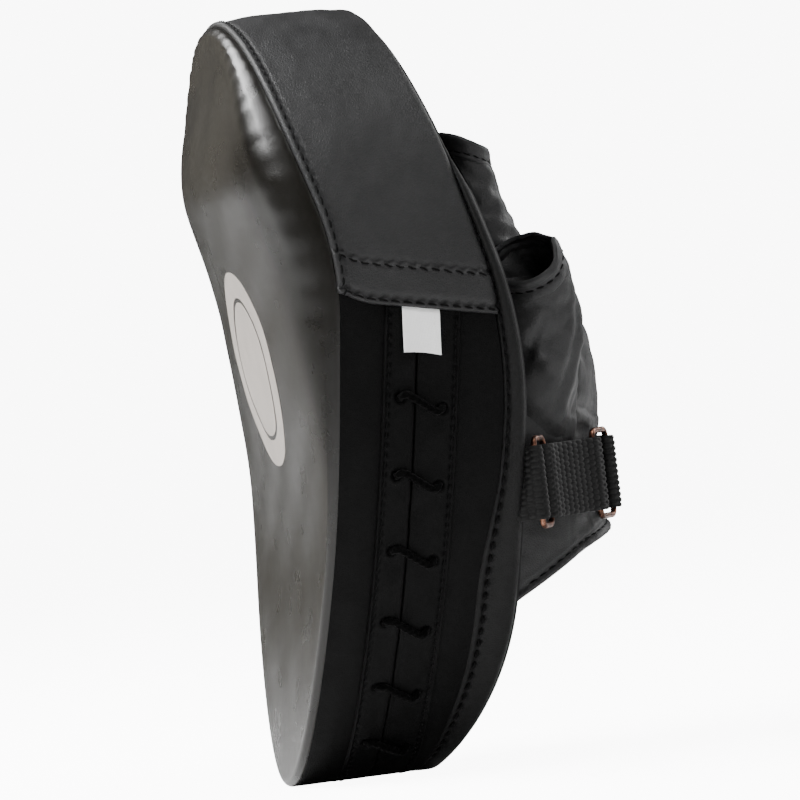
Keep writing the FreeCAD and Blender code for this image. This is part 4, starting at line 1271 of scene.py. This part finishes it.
THUMB = [
    # centre, the two radii and the direction of each section, from the hand to the tip
    ((40.0, 84.0, 98.0), 13.0, 14.0, (0.2, 0.0, 1.0)),
    ((46.0, 86.0, 116.0), 14.0, 14.0, (0.25, 0.0, 1.0)),
    ((54.0, 87.6, 142.0), 15.0, 14.6, (0.35, -0.1, 1.0)),
    ((58.5, 86.6, 160.5), 14.5, 12.8, (0.5, -0.35, 0.85)),
    ((61.0, 85.0, 165.2), 14.0, 11.6, (0.5, -0.35, 0.85)),
]
THUMB_CREASES = [
    # places are (distance round the sleeve from +X towards +Y, distance from its root)
    ((4.0, 24.0), (16.0, 48.0), 2.0, 0.9), ((10.0, 14.0), (24.0, 30.0), 2.2, 0.9),
    ((20.0, 40.0), (32.0, 58.0), 2.2, 0.8), ((78.0, 30.0), (88.0, 50.0), 2.0, 0.7),
    ((66.0, 22.0), (76.0, 42.0), 2.4, 0.8), ((30.0, 20.0), (38.0, 38.0), 2.0, 0.7),
]


def thumb_grid(low, high, rows, grow):
    """The thumb sleeve's surface between two shares of its length, cut lower on the near side."""
    dense = smooth_path([(*c, a, b, *unit(np.array(n))) for c, a, b, n in THUMB], 24)
    share = np.linspace(low, high, rows)
    values = looked_up(share * (len(dense) - 1), np.arange(len(dense)), dense)
    centre, wide, thick, along = values[:, :3], values[:, 3], values[:, 4], unit(values[:, 5:])
    side = unit(np.array([1.0, 0.0, 0.0]) - along * along[:, :1])
    up = np.cross(along, side)
    angle = np.linspace(0.0, 2.0 * math.pi, 96, endpoint=False)
    across = (wide + grow)[:, None, None] * np.cos(angle)[None, :, None] * side[:, None]
    deep = (thick + grow)[:, None, None] * np.sin(angle)[None, :, None] * up[:, None]
    cut = -0.8 * smooth_step(share, 0.45, 0.9)[:, None] * np.clip(np.cos(angle), 0.0, 1.0)
    return centre[:, None] + across + deep + along[:, None] * cut[..., None], angle, along


HEM_START, HEM_TALL, HEM_ROWS = 0.72, 6.0, 34


def build_thumb():
    """The thumb sleeve with diagonal creases and a stitched hem that stands up at the back."""
    grid, angle, _ = thumb_grid(0.0, HEM_START + 0.07, 110, 0.0)
    around = angle[None, :] * 14.0
    along = np.linspace(0.0, 64.0, 110)[:, None]
    out = creased(around, along, THUMB_CREASES) + creased(around - 88.0, along, THUMB_CREASES[:1])
    out = out + 0.4 * ripple(grid, 19.0, 1.5) + 0.15 * ripple(grid, 7.0, 8.0)
    grid = settled(pushed(grid, out, True), wrap_columns=True)
    sleeve = wall("thumb_leather", grid, 1.3, glove_leather, "glove_leather", "thumb_sleeve",
                  wrap=True)
    grid, angle, along = thumb_grid(HEM_START, 1.0, HEM_ROWS, 0.6)
    rise = np.linspace(0.0, 1.0, HEM_ROWS)[:, None]
    peak = 1.5 * np.clip(np.sin(angle), 0, 1) ** 2 + 2.6 * bell(angle - 1.15, 0.32)
    peak = peak - 0.9 * bell(angle - 1.9, 0.3)
    grid = grid + along[:, None] * (rise * peak[None, :])[..., None]
    up = rise * HEM_TALL
    out = -0.5 * rolled(up, 0.9) - 0.4 * bell(up - 2.0, 0.6) + 0.25 * ripple(grid, 9.0, 5.0)
    grid = pushed(grid, out + 0.3 * bell(up - HEM_TALL + 1.2, 1.2), True)
    wall("thumb_hem_leather", grid, 1.9, hem_leather, "hem_leather", "thumb_hem", wrap=True,
         lip=0.45)
    row = int(round(2.0 / HEM_TALL * (HEM_ROWS - 1)))
    stitches = ring_stitches(grid, row, pitch=3.6, radius=0.28, sink=0.2)
    sewn("thumb_stitching", [stitches], "hem_leather")


GRIP_RADIUS, GRIP_LENGTH, GRIP_HEIGHT = 11.0, 74.0, 134.0


def build_grip():
    """The padded roll across the palm: leather gathered at its two ends over a foam core."""
    depth = float(bent_line(np.array(GRIP_HEIGHT), REAR_EDGE)) + BACK_CROWN - 2.0
    along = np.linspace(-1.0, 1.0, 90)[:, None]
    angle = np.linspace(0.0, 2.0 * math.pi, 64, endpoint=False)[None, :]
    end = np.maximum(0.0, 1.0 - np.abs(along) ** 9)

    def roll(grow, name, material, slot, node, fill):
        reach = (GRIP_RADIUS + grow) * np.sqrt(end)
        pleats = 0.35 * np.sin(angle * 11.0) * smooth_step(np.abs(along), 0.7, 0.98)
        reach = reach + pleats * np.sqrt(end)
        x = along * (GRIP_LENGTH / 2.0 + grow)
        grid = np.stack(np.broadcast_arrays(
            x, depth + reach * np.cos(angle), GRIP_HEIGHT + reach * np.sin(angle)), axis=-1)
        grid = grid + 0.2 * ripple(grid, 13.0, 2.0)[..., None] * np.sqrt(end)[..., None]
        faces = grid_faces(90, 64, False, True)
        piece = make_piece(name, grid.reshape(-1, 3), faces.tolist(), material, slot, node)
        weld(piece, 0.00005)

    roll(0.0, "palm_roll_leather", glove_leather, "glove_leather", ["palm_grip_cover"], 0.9)
    roll(-2.0, "palm_roll_core", core_foam_stuff, "core_foam", ["palm_grip_core"], 1.0)


# ------------------------------------------------------------------ strap
STRAP_HEIGHT, WEB_WIDTH, WEB = 92.3, 24.0, 1.5
YARN, FLOAT, WEB_RELIEF = 0.95, 2.7, 0.54
WRAP, PLY = 2.15, 0.85
NEAR_ANCHOR = np.array([79.0, 77.5])
NEAR_LINK = np.array([70.0, 82.5])
FAR_LINK = np.array([52.0, 103.0])
FAR_END = np.array([38.6, 110.4])
SEAT = np.array([76.0, 70.0])


def weave(along, across):
    """Height of a warp-faced tape: short raised floats laid like bricks."""
    row = np.floor(across / YARN)
    height = np.zeros(np.broadcast(along, across).shape)
    for near in (-1.0, 0.0, 1.0):
        middle = (row + near + 0.5) * YARN
        lift = np.sin(math.pi * (along / FLOAT + row + near))
        bump = 0.12 + 0.88 * np.sqrt(np.maximum(0.0, lift))
        wide = YARN * (0.55 + 0.33 * np.maximum(0.0, lift))
        round_over = np.sqrt(np.maximum(0.0, 1.0 - ((across - middle) / wide) ** 2))
        height = np.maximum(height, bump * round_over)
    return height


def webbing_band(name, path, node, body, closed=False, step=0.3):
    """Woven tape on edge along a path in plan, with real yarns and rounded selvedges."""
    if closed:
        path = np.concatenate([path, path[:1]])
    length = run_lengths(path)[-1]
    count = int(length / step)
    path = resample(path, count + 1)
    run = np.gradient(path, axis=0)
    if closed:
        path = path[:-1]
        run = np.roll(path, -1, 0) - np.roll(path, 1, 0)
    run = unit(run)
    out = np.column_stack([run[:, 1], -run[:, 0]])
    columns = int(WEB_WIDTH / (0.8 * step))
    v = np.linspace(-1.0, 1.0, columns)
    along = np.arange(len(path))[:, None] * (length / count)
    across = (v[None, :] + 1.0) * WEB_WIDTH / 2.0
    half = (WEB / 2.0 - WEB_RELIEF * 0.6) * np.sqrt(1.0 - 0.75 * np.abs(v) ** 14)
    z = STRAP_HEIGHT + v[None, :] * WEB_WIDTH / 2.0
    sides = []
    for face, shift in ((1.0, 0.0), (-1.0, FLOAT)):
        yarns = WEB_RELIEF * weave(along + shift, across) * (1.0 - 0.6 * np.abs(v) ** 20)
        reach = face * (half + yarns)
        sides.append(np.stack(np.broadcast_arrays(
            path[:, :1] + out[:, :1] * reach, path[:, 1:] + out[:, 1:] * reach, z), axis=-1))
    grid = np.concatenate([sides[0], sides[1][:, ::-1]], axis=1)
    rows, ring = grid.shape[:2]
    faces = grid_faces(rows, ring, closed, True).tolist()
    if not closed:
        for row, flip in ((0, False), (rows - 1, True)):
            for j in range(columns - 1):
                face = [row * ring + k for k in (j, j + 1, ring - 2 - j, ring - 1 - j)]
                faces.append(face if flip else face[::-1])
    points = grid.reshape(-1, 3)
    piece = make_piece(name, points, faces, webbing_yarn, "webbing", [node], body, sharp=80.0)
    weld(piece, 0.000001)


def around(bar, start, end):
    """Points of tape round a bar between two directions in degrees."""
    turn = np.radians(np.linspace(start, end, 14))
    return bar + WRAP * np.column_stack([np.cos(turn), np.sin(turn)])


def heading_of(run):
    """A run's length, its direction, the normal on its left and its heading in degrees."""
    length = np.hypot(*run)
    ahead = run / length
    heading = math.degrees(math.atan2(ahead[1], ahead[0]))
    return length, ahead, np.array([-ahead[1], ahead[0]]), heading


def doubled(bar, away, reach):
    """A U of tape: two plies that run in from reach, part and wrap the bar."""
    _, away, normal, heading = heading_of(away)
    places = np.linspace(reach, 0.6, 12)
    spread = PLY + (WRAP - PLY) * bell(places, 4.2)
    left = bar + away * places[:, None] + normal * spread[:, None]
    right = bar + away * places[::-1, None] - normal * spread[::-1, None]
    return np.concatenate([left, around(bar, heading + 90, heading + 270), right])


def upright(path, z):
    """A grid that stands on a path in plan."""
    grid = np.zeros((len(path), len(z), 3))
    grid[..., 0], grid[..., 1], grid[..., 2] = path[:, :1], path[:, 1:], z[None, :]
    return grid


def build_anchor():
    """The tab of tape that holds the near ring to the pad."""
    path = doubled(NEAR_ANCHOR, SEAT - NEAR_ANCHOR, 12.0)
    webbing_band("anchor_webbing", path, "strap_anchor_tab", "mitt")


def build_link():
    """The short link between the rings: a sewn loop of tape round both bars."""
    length, ahead, normal, heading = heading_of(FAR_LINK - NEAR_LINK)
    places = np.linspace(0.6, length - 0.6, 24)
    spread = PLY + (WRAP - PLY) * (bell(places, 4.2) + bell(length - places, 4.2))
    there = NEAR_LINK + ahead * places[:, None] - normal * spread[:, None]
    back = NEAR_LINK + ahead * places[::-1, None] + normal * spread[::-1, None]
    path = np.concatenate([there, around(FAR_LINK, heading - 90, heading + 90), back,
                           around(NEAR_LINK, heading + 90, heading + 270)])
    webbing_band("link_webbing", path, "link_strap", "link_strap", closed=True)


def arch_path(grow, x_from, x_to, count=240):
    """The part of the wrist arch between two X places, grown outwards."""
    path = even_arch(1200, grow=grow)
    low, high = min(x_from, x_to), max(x_from, x_to)
    kept = path[(path[:, 0] >= low) & (path[:, 0] <= high)]
    return resample(kept, count)


STRAP_GROW = 1.35
PILE_GROW, HOOK_GROW, TAB_GROW = 2.8, 4.25, 5.65
TAB_REACH = -7.4


def build_straps():
    """Main strap, hook-and-loop patches and the end tab that folds round the far ring."""
    main = arch_path(STRAP_GROW, -90.0, 33.0, 500)
    webbing_band("main_webbing", main, "main_strap", "mitt", step=0.4)
    tab = arch_path(TAB_GROW, TAB_REACH, 33.0, 160)[::-1]
    fold = np.concatenate([tab, around(FAR_END, 100, -80), arch_path(3.9, 29.5, 34.0, 12)])
    webbing_band("end_tab_webbing", fold, "strap_end", "strap_end")
    build_patch("loop_pile", PILE_GROW, -30.0, 30.0, "loop_patch", "mitt", 1.1, 0.22)
    build_patch("hook_pile", HOOK_GROW, TAB_REACH + 2.0, 28.0, "hook_patch", "strap_end", 1.7, 0.3)
    path = arch_path(TAB_GROW, TAB_REACH, 33.0, 400)
    z = np.linspace(STRAP_HEIGHT - WEB_WIDTH / 2.0 + 1.6, STRAP_HEIGHT + WEB_WIDTH / 2.0 - 1.6, 40)
    parts = []
    for place in (28.0, TAB_REACH + 3.0):
        i = int(np.argmin(np.abs(path[:, 0] - place)))
        run = path[min(i + 1, 399)] - path[i - 1]
        outward = unit(np.array([run[1], -run[0]])) * (1.0 if run[0] < 0.0 else -1.0)
        line = upright((path[i] + outward * WEB / 2.0)[None], z)[0]
        normals = np.tile([*outward, 0.0], (len(z), 1))
        parts.append(stitch_row(line, normals, pitch=2.4, radius=0.24))
    sewn("end_tab_stitching", parts, "webbing", "strap_end")


def build_patch(name, grow, x_from, x_to, node, body, pitch, relief):
    """A hook or loop patch: a backing strip with rows of tufts."""
    path = arch_path(grow, x_from, x_to, 200)
    length = run_lengths(path)[-1]
    count = int(length / 0.4)
    width = WEB_WIDTH - 2.0
    z = np.linspace(STRAP_HEIGHT - width / 2.0, STRAP_HEIGHT + width / 2.0, int(width / 0.4))
    grid = upright(resample(path, count), z)
    a = np.arange(count)[:, None] * length / count
    tufts = np.abs(np.sin(math.pi * a / pitch + 0.5 * np.sin(z[None, :] * 1.9)))
    tufts = tufts * np.abs(np.sin(math.pi * z[None, :] / pitch + 0.4 * np.sin(a * 1.7)))
    normals = grid_normals(grid)
    outward = np.where(normals[..., 1:2] < 0.0, -normals, normals)
    face = 1.0 if body == "mitt" else -1.0
    grid = grid + outward * face * (0.35 + relief * tufts)[..., None]
    if normals[0, 0, 1] * face < 0.0:
        grid = grid[:, ::-1]
    wall(name, grid, 0.8, pile_yarn, "hook_and_loop", node, 80.0, lip=0.2, body=body)


def build_far_patch():
    """The leather patch sewn over the far end of the main strap."""
    z = STRAP_HEIGHT + (WEB_WIDTH / 2.0 + 3.0) * np.linspace(-1.0, 1.0, 44)
    grid = upright(arch_path(3.0, -90.0, -50.0, 60), z)
    normals = grid_normals(grid)
    outward = np.where(normals[..., :1] > 0.0, -normals, normals)
    edge = np.minimum(np.abs(z - z[0]), np.abs(z - z[-1]))[None, :]
    out = -0.5 * rolled(edge, 1.2) - 0.35 * bell(edge - 2.4, 0.7) + 0.15 * ripple(grid, 11.0, 3.0)
    grid = grid + outward * out[..., None]
    if (normals[30, 20] @ outward[30, 20]) < 0:
        grid, outward = grid[:, ::-1], outward[:, ::-1]
    wall("far_patch_leather", grid, 1.2, glove_leather, "glove_leather", "far_anchor_patch")
    places = [np.s_[:, 4], np.s_[:, 39], np.s_[3, 4:40]]
    lines = [stitch_row(grid[place], outward[place], pitch=3.0, radius=0.26) for place in places]
    sewn("far_patch_stitching", lines, "glove_leather")


def finish_rings():
    """Copper on the two rings, which stay the CAD's own pieces."""
    for name in ("near_ring", "far_ring"):
        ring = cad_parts[name]
        ring.data.materials.clear()
        ring.data.materials.append(copper_wire)


# ------------------------------------------------------------------ stage
CAMERA_TARGET = (4.2586, 49.6900, 124.0562)
CAMERA_DISTANCE, CAMERA_YAW, CAMERA_ROLL = 1894.0, 10.63, 6.86
LENS = 254.17


def build_camera():
    """A long lens on the thumb side, looking a little from the striking face, and rolled."""
    yaw, roll = math.radians(CAMERA_YAW), math.radians(CAMERA_ROLL)
    look = Vector((-math.cos(yaw), math.sin(yaw), 0.0))
    level = Vector((math.sin(yaw), math.cos(yaw), 0.0))
    sky = Vector((0.0, 0.0, 1.0))
    right = level * math.cos(roll) - sky * math.sin(roll)
    up = level * math.sin(roll) + sky * math.cos(roll)
    target = Vector(to_row_frame([CAMERA_TARGET])[0])
    data = bpy.data.cameras.new("photo_camera")
    data.lens = LENS
    data.sensor_width = 36.0
    data.clip_end = 50.0
    camera = bpy.data.objects.new("photo_camera", data)
    bpy.context.scene.collection.objects.link(camera)
    turn = Matrix((right, up, -look)).transposed()
    camera.matrix_world = Matrix.Translation(target - look * CAMERA_DISTANCE * MM) @ turn.to_4x4()
    bpy.context.scene.camera = camera


def area_light(name, place, towards, size, power, tint):
    data = bpy.data.lights.new(name, "AREA")
    data.shape = "RECTANGLE"
    data.size, data.size_y = size
    data.energy = power
    data.color = tint
    lamp = bpy.data.objects.new(name, data)
    bpy.context.scene.collection.objects.link(lamp)
    lamp.location = place
    lamp.rotation_mode = "QUATERNION"
    lamp.rotation_quaternion = (Vector(towards) - Vector(place)).to_track_quat("-Z", "Y")


def build_stage():
    """A pale floor in a pale room, a broad panel beyond the face and a high soft light."""
    look = new_look("pale_floor")
    speckle = look.ramp(look.noise(60.0, 2.0), [(0.3, (0.86, 0.86, 0.86)), (0.7, (0.88, 0.88, 0.88))])
    seen = look.node("LightPath", {}).outputs["Is Camera Ray"]
    look.shade(
        Base_Color=speckle, Roughness=0.9, Specular_IOR_Level=0.1,
        Emission_Strength=look.maths("MULTIPLY_ADD", seen, FLOOR_GLOW, 0.02),
        Emission_Color=(1.0, 1.0, 1.0, 1.0),
    )
    mesh = bpy.data.meshes.new("floor")
    corners = [(x * FLOOR_REACH, y * FLOOR_REACH, 0) for x, y in ((-1, -1), (1, -1), (1, 1), (-1, 1))]
    mesh.from_pydata(corners, [], [(0, 1, 2, 3)])
    floor = bpy.data.objects.new("floor", mesh)
    floor.data.materials.append(look.owner)
    bpy.context.scene.collection.objects.link(floor)
    room = Look(bpy.data.worlds.new("room"), "BACKGROUND")
    seen = room.node("LightPath", {}).outputs["Is Camera Ray"]
    strength = room.maths("MULTIPLY_ADD", seen, ROOM_SEEN, ROOM_LIGHT)
    room.shade(Color=(1.0, 1.0, 1.0, 1.0), Strength=strength)
    bpy.context.scene.world = room.owner
    for name, place, size, power, tint in LIGHTS:
        area_light(name, place, LIT_POINT, size, power, tint)


ROOM_SEEN, ROOM_LIGHT, FLOOR_GLOW = 9.0, 0.03, 9.0
FLOOR_REACH, LIT_POINT = 12.0, (0.0, 0.0, 0.13)
WHITE, WARM = (1.0, 1.0, 1.0), (1.0, 0.93, 0.80)
LIGHTS = [
    ("beyond_face", (-1.75, -1.05, 0.5), (1.5, 0.9), 1.8, WARM),
    ("high_front", (-0.25, -0.94, 1.2), (1.7, 0.45), 72.0, WHITE),
    ("overhead", (0.55, 0.35, 1.5), (0.7, 0.7), 11.0, WHITE),
    ("high_fill", (0.9, -1.2, 1.3), (0.8, 0.8), 2.5, WHITE),
    ("near_side", (1.5, 0.35, 0.8), (0.8, 0.8), 3.0, WHITE),
    ("back_rim", (1.0, 1.7, 0.7), (0.6, 0.8), 3.5, WHITE),
    ("back_soft", (-0.9, 1.7, 1.0), (1.2, 1.2), 20.0, WHITE),
]

build_camera()
build_stage()
build_layers()
build_target(build_face())
build_band()
build_side_strips()
build_flaps()
build_tongue()
build_lace()
build_label()
build_back()
build_cover()
build_cuff()
for finger in FINGERS:
    build_finger(finger)
build_thumb()
build_grip()
build_anchor()
build_link()
build_straps()
build_far_patch()
finish_rings()
